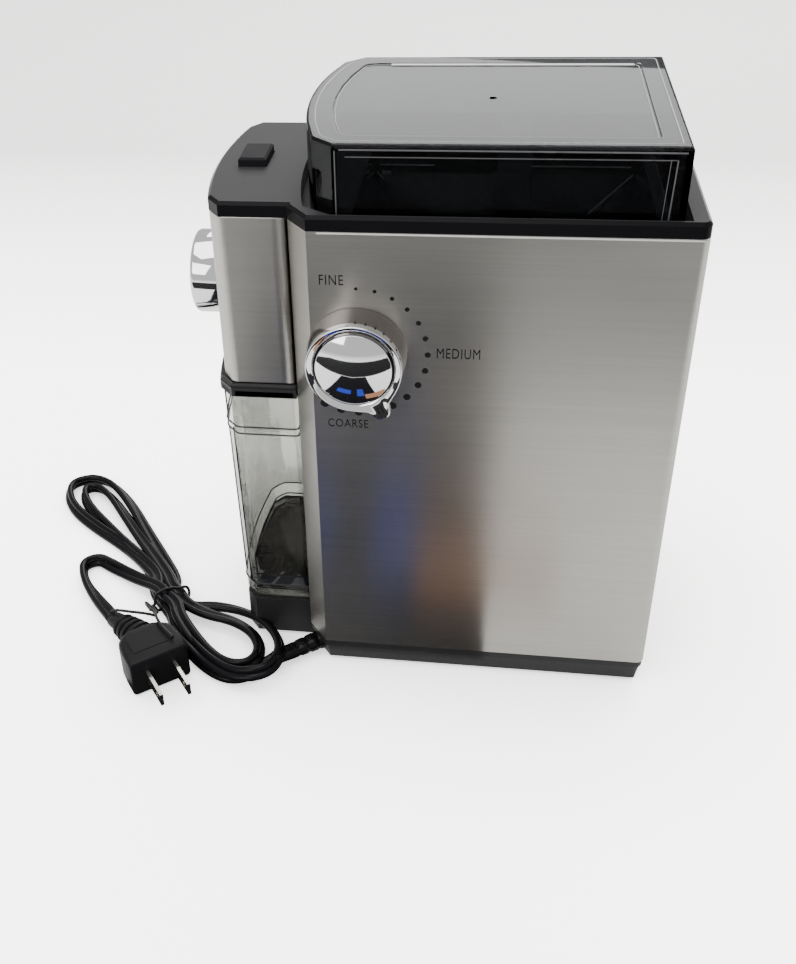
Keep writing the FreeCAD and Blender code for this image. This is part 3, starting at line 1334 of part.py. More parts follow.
gland = new_body("cord_gland", ("middle_x + gland_x", "gland_y", "gland_z"), CORNER_TURN)
sketch = new_sketch(gland, "XZ_Plane")
outline(sketch, [
    ("0", "0"),
    ("gland_radius", "0"),
    ("gland_radius", "gland_neck"),
    ("5", "gland_neck"),
    ("5", "gland_neck + 1.5"),
    ("4.6", "gland_neck + 2"),
    ("3.5", "gland_neck + boot_length"),
    ("0", "gland_neck + boot_length"),
])
revolve(gland, "Revolution", sketch)


def cord_wire(points):
    """Straight runs joined by tangent arcs, each arc as large as its two runs allow."""
    corners = [FreeCAD.Vector(*point) for point in points]
    edges = []
    radii = []
    start = corners[0]
    for before, corner, after in zip(corners, corners[1:], corners[2:]):
        first = (corner - before).normalize()
        second = (after - corner).normalize()
        turn = first.getAngle(second)
        reach = 0.45 * min((corner - before).Length, (after - corner).Length)
        radius = reach / math.tan(turn / 2)
        centre = corner + (second - first).normalize() * (radius / math.cos(turn / 2))
        middle = centre + (corner - centre).normalize() * radius
        enter = corner - first * reach
        leave = corner + second * reach
        edges.append(Part.LineSegment(start, enter).toShape())
        edges.append(Part.Arc(enter, middle, leave).toShape())
        radii.append(radius)
        start = leave
    edges.append(Part.LineSegment(start, corners[-1]).toShape())
    return Part.Wire(edges), radii


def cord_tube(label, points):
    wire, radii = cord_wire(points)
    heading = FreeCAD.Vector(*points[1]) - FreeCAD.Vector(*points[0])
    ring = Part.Wire(Part.makeCircle(sheet.lead_radius, FreeCAD.Vector(*points[0]), heading))
    shape = wire.makePipeShell([ring], True, False)
    area = math.pi * sheet.lead_radius ** 2
    print(label, "length %.1f" % wire.Length, "radii", ["%.0f" % radius for radius in radii],
          "volume ratio %.4f" % (shape.Volume / (area * wire.Length)))
    return solid(shape, label)


corner = FreeCAD.Vector(0.608, -0.794, 0).normalize()
boot_tip = FreeCAD.Vector(sheet.middle_x + sheet.gland_x, sheet.gland_y, sheet.gland_z)
boot_tip += corner * (sheet.gland_neck + sheet.boot_length)
cord_tube("power_cord", [
    tuple(boot_tip), (58.9, -70.3, 4.4), (61.4, -78.5, 3.4), (61.0, -87.0, 2.9),
])

HANK_OUTLINE = [
    (44, -62), (53, -67), (59, -76), (63, -87), (56, -99.5), (44.5, -110.5), (36, -118.5),
    (24.7, -130.3), (8, -138), (-10, -156), (-34, -187), (-54, -201), (-72, -203), (-80, -194),
    (-72, -177), (-40, -150), (-10, -131), (13.3, -117.7), (20, -108), (21.5, -98), (24, -89),
    (28.5, -82.5), (34, -77), (37, -70),
]
hank_edge = Part.BSplineCurve()
hank_edge.interpolate([FreeCAD.Vector(x, y, 0) for x, y in HANK_OUTLINE], True)
hank_face = Part.Face(Part.Wire(hank_edge.toShape()))
solid(hank_face.extrude(FreeCAD.Vector(0, 0, sheet.hank_height)), "cord_hank",
      ("0", "0", "hank_foot"))

tie = new_body("twist_tie", ("tie_x", "tie_y", "0"), ((0, 0, 1), 41.7))
sketch = new_sketch(tie, "YZ_Plane", "-2")
rectangle(sketch, "-tie_half - 0.6", "tie_half + 0.6", "0", "hank_height + 1.1")
rectangle(sketch, "-tie_half", "tie_half", "hank_foot", "hank_height + hank_foot")
pad(tie, sketch, "4")
sketch = new_sketch(tie, "XZ_Plane", "tie_half + 0.6")
circle(sketch, "0", "3", "1.2")
pad(tie, sketch, "12")

PLUG_AT = ("plug_x", "plug_y", "0")
PLUG_TURN = ((0, 0, 1), 36.9)
plug = new_body("plug_body", PLUG_AT, PLUG_TURN)
sketch = new_sketch(plug, "YZ_Plane", "-plug_length")
outline(sketch, [
    ("3 - plug_half", "0.2"), ("plug_half - 3", "0.2"), ("plug_half", "3.2"),
    ("plug_half", "plug_height - 3"), ("plug_half - 3", "plug_height"),
    ("3 - plug_half", "plug_height"), ("-plug_half", "plug_height - 3"), ("-plug_half", "3.2"),
])
pad(plug, sketch, "plug_length")
RELIEF_TURN = ((0.23, -0.973, 0), 95.7)
sketch = turned_sketch(plug, ("2 - plug_length", "0", "plug_height/2"), *RELIEF_TURN)
circle(sketch, "0", "0", "5")
relief = pad(plug, sketch, "relief_length + 2")
relief.TaperAngle = -3.5

blade = Part.makeBox(sheet.blade_length, 1.5, 6.3, FreeCAD.Vector(0, -0.75, -3.15))
blade = blade.cut(Part.makeCylinder(1.6, 3, FreeCAD.Vector(sheet.blade_length - 4, -1.5, 0),
                                    FreeCAD.Vector(0, 1, 0)))
pair = []
for side in (-1, 1):
    copy = blade.copy()
    copy.translate(FreeCAD.Vector(0, side * sheet.blade_half_gap, sheet.plug_height / 2))
    pair.append(copy)
blades = document.addObject("Part::Feature", "plug_blades")
blades.Shape = Part.makeCompound(pair)
place(blades, PLUG_AT, PLUG_TURN)
keep(blades, "plug_blades")

plug_place = FreeCAD.Placement(FreeCAD.Vector(sheet.plug_x, sheet.plug_y, 0),
                               FreeCAD.Rotation(FreeCAD.Vector(*PLUG_TURN[0]), PLUG_TURN[1]))
relief_place = FreeCAD.Placement(FreeCAD.Vector(2 - sheet.plug_length, 0, sheet.plug_height / 2),
                                 FreeCAD.Rotation(FreeCAD.Vector(*RELIEF_TURN[0]), RELIEF_TURN[1]))
relief_tip = plug_place.multVec(relief_place.multVec(
    FreeCAD.Vector(0, 0, sheet.relief_length + 2)))
print("relief tip", relief_tip, "boot tip", boot_tip)
cord_tube("cord_tail", [
    (17, -132.5, 4.5), (11, -141, 3.4), (4, -150, 2.8), (-3, -158.5, 2.8), (-9, -165.5, 2.8),
    (-11.5, -173.5, 2.8), (-6, -179.5, 2.8), (2, -178, 2.8), (9.5, -170.8, 3.0),
    (17, -162.2, 3.8), (25.2, -153.5, 5.0), tuple(relief_tip),
])


# ---------------------------------------------------------------- write

def finish():
    document.recompute()
    for thing in document.Objects:
        if "Invalid" in thing.State or "Error" in thing.State:
            raise RuntimeError("%s (%s) failed: %s" % (thing.Name, thing.Label, thing.State))
    os.makedirs("parts", exist_ok=True)
    for name, thing in subparts.items():
        if thing.Shape.isNull() or not thing.Shape.isValid():
            raise RuntimeError(name + " has no valid shape")
        thing.Shape.exportStep(os.path.join("parts", name + ".step"))
    print("%d sub-parts" % len(subparts))


finish()
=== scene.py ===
"""The looks of the burr coffee grinder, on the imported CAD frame.  Metres, +Z up."""

import math

import bmesh
import bpy
from mathutils import Matrix, Vector


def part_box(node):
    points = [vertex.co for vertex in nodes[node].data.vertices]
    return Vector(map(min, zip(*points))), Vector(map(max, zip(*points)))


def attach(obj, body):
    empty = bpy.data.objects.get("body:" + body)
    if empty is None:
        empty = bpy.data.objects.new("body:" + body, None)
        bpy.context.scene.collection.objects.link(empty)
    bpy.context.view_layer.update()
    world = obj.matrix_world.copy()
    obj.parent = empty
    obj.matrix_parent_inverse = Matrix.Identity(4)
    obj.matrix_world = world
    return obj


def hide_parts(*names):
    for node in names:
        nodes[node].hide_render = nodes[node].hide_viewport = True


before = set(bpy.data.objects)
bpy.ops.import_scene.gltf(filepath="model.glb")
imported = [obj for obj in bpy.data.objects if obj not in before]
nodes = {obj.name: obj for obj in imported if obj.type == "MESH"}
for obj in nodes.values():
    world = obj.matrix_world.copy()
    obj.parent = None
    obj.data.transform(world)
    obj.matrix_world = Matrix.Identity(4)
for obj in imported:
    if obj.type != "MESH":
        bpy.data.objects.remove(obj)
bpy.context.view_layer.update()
MM = 0.001
TURN = 2 * math.pi


# ------------------------------------------------------------------ places, from the frame

steel_low, steel_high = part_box("body_wrap_steel")
nose_low, nose_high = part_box("front_wrap_steel")
cover_low, cover_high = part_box("top_cover")
lid_low, lid_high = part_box("hopper_lid")
bin_low, bin_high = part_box("grounds_container")
dial_low, dial_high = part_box("grind_dial")
knob_low, knob_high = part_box("quantity_knob")
button_low, button_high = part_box("start_button")
shaft_low, shaft_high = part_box("dial_shaft")
MIDDLE_X = (steel_low.x + steel_high.x) / 2
PANEL_X = steel_high.x
DIAL_Y = (shaft_low.y + shaft_high.y) / 2
DIAL_Z = (shaft_low.z + shaft_high.z) / 2
KNOB_Z = (knob_low.z + knob_high.z) / 2


# ------------------------------------------------------------------ camera

def aim(yaw, pitch, roll):
    """A camera's axes, from its heading, its angle below the horizon and its roll."""
    forward = Vector((-math.cos(yaw) * math.cos(pitch), math.sin(yaw) * math.cos(pitch),
                      -math.sin(pitch)))
    level = forward.cross(Vector((0, 0, 1))).normalized()
    above = level.cross(forward)
    right = math.cos(roll) * level + math.sin(roll) * above
    up = -math.sin(roll) * level + math.cos(roll) * above
    return Matrix((right, up, -forward)).transposed()


camera_data = bpy.data.cameras.new("camera")
camera_data.lens = 42.7
camera_data.shift_x = 0.0836
camera_data.shift_y = -0.0319
camera_data.clip_start = 0.01
camera = bpy.data.objects.new("camera", camera_data)
bpy.context.scene.collection.objects.link(camera)
camera.matrix_world = Matrix.Translation((0.42201, 0.02644, 0.37279)) @ aim(
    math.radians(-10.086), math.radians(34.079), math.radians(-2.897)).to_4x4()
bpy.context.scene.camera = camera


# ------------------------------------------------------------------ material tools

class Paint:
    """A node material with short calls for its parts."""

    def __init__(self, name):
        self.material = bpy.data.materials.new(name)
        self.material.use_nodes = True
        self.tree = self.material.node_tree
        self.shader = self.tree.nodes["Principled BSDF"]
        self.output = self.tree.nodes["Material Output"]
        self.where = self.add("ShaderNodeTexCoord").outputs["Object"]

    def add(self, kind, **settings):
        made = self.tree.nodes.new(kind)
        for key, setting in settings.items():
            setattr(made, key, setting)
        return made

    def link(self, source, target):
        self.tree.links.new(source, target)

    def stretched(self, x, y, z):
        """Object coordinates times a scale for each axis."""
        mapping = self.add("ShaderNodeMapping")
        mapping.inputs["Scale"].default_value = (x, y, z)
        self.link(self.where, mapping.inputs["Vector"])
        return mapping.outputs["Vector"]

    def noise(self, vector, scale, detail=3.0, roughness=0.55):
        texture = self.add("ShaderNodeTexNoise")
        texture.inputs["Scale"].default_value = scale
        texture.inputs["Detail"].default_value = detail
        texture.inputs["Roughness"].default_value = roughness
        self.link(vector, texture.inputs["Vector"])
        return texture.outputs["Fac"]

    def ramp(self, factor, low, high, first, last):
        """A factor's range mapped to another range."""
        mapped = self.add("ShaderNodeMapRange")
        for key, amount in zip(("From Min", "From Max", "To Min", "To Max"),
                               (low, high, first, last)):
            mapped.inputs[key].default_value = amount
        self.link(factor, mapped.inputs["Value"])
        return mapped.outputs["Result"]

    def mix(self, factor, first, last):
        """Two colours mixed by a factor."""
        blend = self.add("ShaderNodeMix", data_type="RGBA")
        blend.inputs[6].default_value = (*first, 1)
        blend.inputs[7].default_value = (*last, 1)
        self.link(factor, blend.inputs[0])
        return blend.outputs[2]

    def times(self, first, second):
        """Two factors multiplied."""
        made = self.add("ShaderNodeMath", operation="MULTIPLY")
        self.link(first, made.inputs[0])
        self.link(second, made.inputs[1])
        return made.outputs[0]

    def colour(self, socket):
        self.link(socket, self.shader.inputs["Base Color"])

    def rough(self, socket):
        self.link(socket, self.shader.inputs["Roughness"])

    def bump(self, height, strength, distance):
        made = self.add("ShaderNodeBump")
        made.inputs["Strength"].default_value = strength
        made.inputs["Distance"].default_value = distance
        self.link(height, made.inputs["Height"])
        self.link(made.outputs["Normal"], self.shader.inputs["Normal"])


def basic(paint, colour, roughness, metallic=0.0, specular=0.5):
    inputs = paint.shader.inputs
    inputs["Base Color"].default_value = (*colour, 1)
    inputs["Roughness"].default_value = roughness
    inputs["Metallic"].default_value = metallic
    inputs["Specular IOR Level"].default_value = specular


def brushed(name, colour, grain_roughness=0.30, anisotropy=0.8):
    """Sheet steel with a fine horizontal grain."""
    paint = Paint(name)
    basic(paint, colour, grain_roughness, metallic=1.0)
    fine = paint.noise(paint.stretched(14, 14, 2600), 1.0, 4.0, 0.65)
    coarse = paint.noise(paint.stretched(3.5, 3.5, 420), 1.0, 3.0, 0.6)
    cloud = paint.noise(paint.where, 9.0, 2.0)
    dark = tuple(channel * 0.82 for channel in colour)
    light = tuple(min(1.0, channel * 1.11) for channel in colour)
    both = paint.add("ShaderNodeMath", operation="MULTIPLY_ADD")
    paint.link(fine, both.inputs[0])
    both.inputs[1].default_value = 0.8
    paint.link(paint.ramp(coarse, 0.3, 0.7, 0.0, 0.2), both.inputs[2])
    paint.colour(paint.mix(both.outputs[0], dark, light))
    paint.rough(paint.ramp(cloud, 0.3, 0.7, grain_roughness - 0.03, grain_roughness + 0.04))
    paint.bump(fine, 0.10, 0.0001)
    tangent = paint.add("ShaderNodeTangent", direction_type="RADIAL", axis="Z")
    paint.link(tangent.outputs["Tangent"], paint.shader.inputs["Tangent"])
    paint.shader.inputs["Anisotropic"].default_value = anisotropy
    paint.shader.inputs["Anisotropic Rotation"].default_value = 0.25
    return paint.material


def moulded(name, colour, roughness=0.5, grain=2600.0, depth=0.25, specular=0.22,
            mottling=0.15):
    """Moulded plastic or rubber: a fine pebbled grain and a slight unevenness of tone."""
    paint = Paint(name)
    basic(paint, colour, roughness, specular=specular)
    pebbles = paint.noise(paint.where, grain, 2.0)
    patches = paint.noise(paint.where, 40.0, 3.0)
    dark = tuple(channel * (1 - mottling) for channel in colour)
    light = tuple(channel * (1 + mottling) for channel in colour)
    paint.colour(paint.mix(patches, dark, light))
    paint.rough(paint.ramp(patches, 0.3, 0.7, roughness - 0.04, roughness + 0.05))
    paint.bump(pebbles, depth, 0.00012)
    return paint.material


def polished(name, colour, roughness=0.05, wear=0.04):
    """Bright plating or turned metal."""
    paint = Paint(name)
    basic(paint, colour, roughness, metallic=1.0)
    haze = paint.noise(paint.where, 60.0, 4.0)
    paint.rough(paint.ramp(haze, 0.35, 0.75, roughness, roughness + wear))
    paint.colour(paint.mix(haze, tuple(channel * 0.97 for channel in colour), colour))
    return paint.material


def turned(name, colour, roughness=0.3):
    """Lathe-turned or stamped metal with fine rings of tool marks."""
    paint = Paint(name)
    basic(paint, colour, roughness, metallic=1.0)
    marks = paint.noise(paint.stretched(400, 400, 2200), 1.0, 3.0)
    paint.colour(paint.mix(marks, tuple(channel * 0.8 for channel in colour), colour))
    paint.bump(marks, 0.15, 0.0001)
    return paint.material


def windings(name, colour):
    """Enamelled wire, wound in close turns."""
    paint = Paint(name)
    basic(paint, colour, 0.3, metallic=0.9)
    wave = paint.add("ShaderNodeTexWave", bands_direction="DIAGONAL")
    wave.inputs["Scale"].default_value = 450.0
    wave.inputs["Distortion"].default_value = 1.5
    paint.link(paint.where, wave.inputs["Vector"])
    paint.colour(paint.mix(wave.outputs["Fac"], tuple(c * 0.35 for c in colour), colour))
    paint.bump(wave.outputs["Fac"], 0.5, 0.0004)
    return paint.material


def laminated(name, colour):
    """A stack of thin iron sheets."""
    paint = Paint(name)
    basic(paint, colour, 0.45, metallic=0.8)
    wave = paint.add("ShaderNodeTexWave", bands_direction="Z")
    wave.inputs["Scale"].default_value = 300.0
    paint.link(paint.where, wave.inputs["Vector"])
    paint.colour(paint.mix(wave.outputs["Fac"], tuple(c * 0.5 for c in colour), colour))
    paint.bump(wave.outputs["Fac"], 0.4, 0.0003)
    return paint.material


def clear(name, tint, roughness=0.03, ior=1.49):
    """Clear smoke plastic: it refracts what is seen and lets tinted light through."""
    paint = Paint(name)
    tree = paint.tree
    glass = paint.add("ShaderNodeBsdfGlass")
    glass.inputs["Color"].default_value = (*tint, 1)
    glass.inputs["IOR"].default_value = ior
    smudges = paint.noise(paint.where, 30.0, 4.0)
    paint.link(paint.ramp(smudges, 0.45, 0.8, roughness * 0.4, roughness * 1.6),
               glass.inputs["Roughness"])
    through = paint.add("ShaderNodeBsdfTransparent")
    place = paint.add("ShaderNodeSeparateXYZ")
    paint.link(paint.add("ShaderNodeNewGeometry").outputs["Position"], place.inputs[0])
    cloud = paint.ramp(paint.noise(paint.where, 22.0, 1.0), 0.35, 0.65, -0.012, 0.012)
    level = paint.add("ShaderNodeMath", operation="ADD")
    paint.link(place.outputs["Z"], level.inputs[0])
    paint.link(cloud, level.inputs[1])
    # the tint is darker towards the bottom
    paint.link(paint.mix(paint.ramp(level.outputs[0], 0.045, 0.105, 1.0, 0.0), tint,
                         tuple(channel * 0.78 for channel in tint)), through.inputs["Color"])
    rays = paint.add("ShaderNodeLightPath")
    either = paint.add("ShaderNodeMath", operation="MAXIMUM")
    paint.link(rays.outputs["Is Shadow Ray"], either.inputs[0])
    paint.link(rays.outputs["Is Diffuse Ray"], either.inputs[1])
    blend = paint.add("ShaderNodeMixShader")
    paint.link(either.outputs[0], blend.inputs["Fac"])
    paint.link(glass.outputs["BSDF"], blend.inputs[1])
    paint.link(through.outputs["BSDF"], blend.inputs[2])
    tree.nodes.remove(paint.shader)
    paint.link(blend.outputs["Shader"], paint.output.inputs["Surface"])
    return paint.material


def thin_clear(name, tint, shine=0.9):
    """Thin clear plastic that doesn't bend what is seen through it."""
    paint = Paint(name)
    through = paint.add("ShaderNodeBsdfTransparent")
    place = paint.add("ShaderNodeSeparateXYZ")
    paint.link(paint.add("ShaderNodeNewGeometry").outputs["Position"], place.inputs[0])
    cloud = paint.ramp(paint.noise(paint.where, 22.0, 1.0), 0.35, 0.65, -0.012, 0.012)
    level = paint.add("ShaderNodeMath", operation="ADD")
    paint.link(place.outputs["Z"], level.inputs[0])
    paint.link(cloud, level.inputs[1])
    # the tint is darker towards the bottom
    paint.link(paint.mix(paint.ramp(level.outputs[0], 0.045, 0.105, 1.0, 0.0), tint,
                         tuple(channel * 0.78 for channel in tint)), through.inputs["Color"])
    gloss = paint.add("ShaderNodeBsdfAnisotropic")
    gloss.inputs["Roughness"].default_value = 0.04
    edge = paint.add("ShaderNodeFresnel")
    edge.inputs["IOR"].default_value = 1.38
    haze = paint.noise(paint.where, 45.0, 3.0)
    share = paint.add("ShaderNodeMath", operation="MULTIPLY")
    paint.link(edge.outputs["Fac"], share.inputs[0])
    paint.link(paint.ramp(haze, 0.3, 0.7, shine * 0.75, shine), share.inputs[1])
    blend = paint.add("ShaderNodeMixShader")
    paint.link(share.outputs[0], blend.inputs["Fac"])
    paint.link(through.outputs["BSDF"], blend.inputs[1])
    paint.link(gloss.outputs["BSDF"], blend.inputs[2])
    paint.tree.nodes.remove(paint.shader)
    paint.link(blend.outputs["Shader"], paint.output.inputs["Surface"])
    return paint.material


def cover_plastic(name):
    """The top cover: a matte textured face and a glossy edge."""
    paint = Paint(name)
    basic(paint, (0.028, 0.028, 0.030), 0.42, specular=0.2)
    facing = paint.add("ShaderNodeNewGeometry").outputs["Normal"]
    split = paint.add("ShaderNodeSeparateXYZ")
    paint.link(facing, split.inputs["Vector"])
    flat = paint.ramp(split.outputs["Z"], 0.85, 0.98, 0.0, 1.0)
    paint.rough(paint.ramp(flat, 0.0, 1.0, 0.16, 0.6))
    paint.link(paint.ramp(flat, 0.0, 1.0, 0.05, 0.16),
               paint.shader.inputs["Specular IOR Level"])
    paint.colour(paint.mix(flat, (0.007, 0.007, 0.008), (0.026, 0.026, 0.028)))
    pebbles = paint.noise(paint.where, 2300.0, 2.0)
    height = paint.add("ShaderNodeMath", operation="MULTIPLY")
    paint.link(pebbles, height.inputs[0])
    paint.link(flat, height.inputs[1])
    paint.bump(height.outputs[0], 0.35, 0.00015)
    return paint.material


STEEL = brushed("brushed_steel", (0.50, 0.485, 0.455))
CHROME = polished("chrome", (0.86, 0.86, 0.87), 0.03)
NICKEL = polished("nickel", (0.74, 0.71, 0.66), 0.16, 0.1)
COVER = cover_plastic("cover_black")
BASE = moulded("base_black", (0.020, 0.020, 0.021), 0.34, 2200, 0.2)
INNER = moulded("inner_black", (0.012, 0.012, 0.014), 0.38, 1800, 0.2)
BUTTON = moulded("button_black", (0.013, 0.013, 0.015), 0.62, 2600, 0.25, 0.08)
RUBBER = moulded("foot_rubber", (0.02, 0.02, 0.02), 0.75, 900, 0.3)
LEAD = moulded("lead_black", (0.005, 0.005, 0.006), 0.22, 700, 0.05, 0.13, 0.1)
PLUG = moulded("plug_black", (0.008, 0.008, 0.009), 0.40, 1500, 0.35, 0.12)
TIE = moulded("tie_black", (0.012, 0.012, 0.012), 0.35, 900, 0.1)
CARRIER = moulded("carrier_black", (0.05, 0.05, 0.055), 0.32, 1200, 0.15)
NYLON = moulded("nylon", (0.72, 0.70, 0.62), 0.4, 1200, 0.1)
INSULATOR = moulded("insulator", (0.10, 0.06, 0.04), 0.5, 1200, 0.2)
CARBON = moulded("carbon", (0.02, 0.02, 0.02), 0.6, 3000, 0.4)
BOARD = moulded("board_green", (0.03, 0.20, 0.09), 0.3, 600, 0.15)
PRINT = moulded("print_grey", (0.014, 0.013, 0.012), 0.6, 2600, 0.05, 0.06)
SHAFT = turned("turned_steel", (0.60, 0.60, 0.60))
BURR = turned("burr_steel", (0.45, 0.45, 0.44), 0.38)
BRONZE = turned("bronze", (0.62, 0.44, 0.22), 0.35)
COPPER = windings("copper", (0.72, 0.30, 0.12))
IRON = laminated("lamination", (0.30, 0.30, 0.31))
LID_SMOKE = clear("lid_smoke", (0.40, 0.405, 0.415), 0.03)
BIN_SMOKE = thin_clear("container_smoke", (0.70, 0.70, 0.685), 0.45)
# painted highlights and painted shade: flat colours for lines and strips that stand in for
# edges catching the light, and for the dark look of clear plastic's edges
BRIGHT_PAINTED_HIGHLIGHT = moulded("painted_highlight_bright", (0.62, 0.62, 0.60), 0.25, 900, 0.02, 0.5, 0.05)
DIM_PAINTED_HIGHLIGHT = moulded("painted_highlight_dim", (0.10, 0.10, 0.105), 0.25, 900, 0.02, 0.3, 0.05)
PAINTED_EDGE_SHADE = moulded("edge_dark", (0.03, 0.03, 0.03), 0.25, 900, 0.02, 0.3, 0.05)
GLINT = moulded("edge_glint", (0.75, 0.76, 0.78), 0.25, 900, 0.02, 0.5, 0.05)
GREY_PAINTED_HIGHLIGHT = moulded("painted_highlight_grey", (0.30, 0.30, 0.31), 0.2, 900, 0.02, 0.5, 0.05)
GLOSS = moulded("gloss_black", (0.008, 0.009, 0.014), 0.12, 300, 0.02, 0.5)

FINISHES = {
    STEEL: ("body_wrap_steel", "front_wrap_steel"),
    COVER: ("top_cover",),
    BASE: ("base_tray", "bottom_plate", "container_lid"),
    GLOSS: ("bean_hopper",),
    INNER: ("bay_wall", "front_unit_floor", "lower_deck", "upper_deck",
            "grounds_chute", "grinding_chamber", "dial_bracket", "deck_columns"),
    LID_SMOKE: ("hopper_lid",),
    BIN_SMOKE: ("grounds_container",),
    CHROME: ("grind_dial", "quantity_knob"),
    BUTTON: ("start_button",),
    RUBBER: ("rubber_feet",),
    CARRIER: ("burr_carrier", "burr_handle", "adjusting_ring", "burr_seat_ring",
              "adjusting_rack"),
    BURR: ("upper_burr", "lower_burr"),
    SHAFT: ("burr_spindle", "motor_shaft", "dial_shaft", "timer_shaft", "base_screws",
            "hopper_screws", "motor_screws", "burr_nut", "motor_bracket"),
    NYLON: ("spindle_gear", "grounds_impeller", "cooling_fan"),
    BRONZE: ("spindle_bearings", "motor_bearings", "motor_pinion"),
    IRON: ("stator_core", "armature_core"),
    COPPER: ("field_coils", "armature_windings", "commutator"),
    INSULATOR: ("brush_holders", "start_switch", "timer_control"),
    CARBON: ("carbon_brushes",),
    BOARD: ("control_board",),
    LEAD: ("cord_gland", "power_cord", "cord_hank", "cord_tail"),
    PLUG: ("plug_body",),
    NICKEL: ("plug_blades",),
    TIE: ("twist_tie",),
}
for material, names in FINISHES.items():
    for name in names:
        mesh = nodes[name].data
        mesh.materials.clear()
        mesh.materials.append(material)


# ------------------------------------------------------------------ mesh tools

def new_piece(name, mesh, material, body):
    piece = bpy.data.objects.new(name, mesh)
    bpy.context.scene.collection.objects.link(piece)
    mesh.materials.clear()
    mesh.materials.append(material)
    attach(piece, body)
    return piece


def mesh_of(name, points, faces, smooth=True):
    mesh = bpy.data.meshes.new(name)
    mesh.from_pydata([tuple(point) for point in points], [], faces)
    mesh.validate()
    tidy = bmesh.new()
    tidy.from_mesh(mesh)
    bmesh.ops.remove_doubles(tidy, verts=tidy.verts, dist=1e-7)
    bmesh.ops.recalc_face_normals(tidy, faces=tidy.faces)
    tidy.to_mesh(mesh)
    tidy.free()
    for face in mesh.polygons:
        face.use_smooth = smooth
    return mesh


def rounded(piece, width, segments=3, angle=30):
    """Small round edges on a piece or a CAD node, which keeps its own vertices."""
    bevel = piece.modifiers.new("edges", "BEVEL")
    bevel.width = width
    bevel.segments = segments
    bevel.limit_method = "ANGLE"
    bevel.angle_limit = math.radians(angle)
    bevel.harden_normals = True
    return bevel


def rings_mesh(name, rings, closed_ends=True):
    """Rings of the same number of points, joined one to the next."""
    count = len(rings[0])
    points = [point for ring in rings for point in ring]
    faces = []
    for level in range(len(rings) - 1):
        for index in range(count):
            after = (index + 1) % count
            faces.append((level * count + index, level * count + after,
                          (level + 1) * count + after, (level + 1) * count + index))
    if closed_ends:
        faces.append(tuple(reversed(range(count))))
        faces.append(tuple(range((len(rings) - 1) * count, len(rings) * count)))
    return mesh_of(name, points, faces)


# ------------------------------------------------------------------ mains lead

LEAD_WIDE = 7.0
LEAD_THICK = 3.6
CORE = LEAD_THICK / 2
CORE_APART = (LEAD_WIDE - LEAD_THICK) / 2
TIE_AT = Vector((18.4, -120.6))
TIE_TURN = math.radians(41.7)
ALONG = Vector((math.cos(TIE_TURN), math.sin(TIE_TURN)))
ACROSS = Vector((-math.sin(TIE_TURN), math.cos(TIE_TURN)))


def at_tie(along, across, lift, turn=0):
    """A point of the lead near the tie: along the bundle, across it, and above the floor."""
    spot = TIE_AT + ALONG * along + ACROSS * across
    return spot.x, spot.y, lift, turn


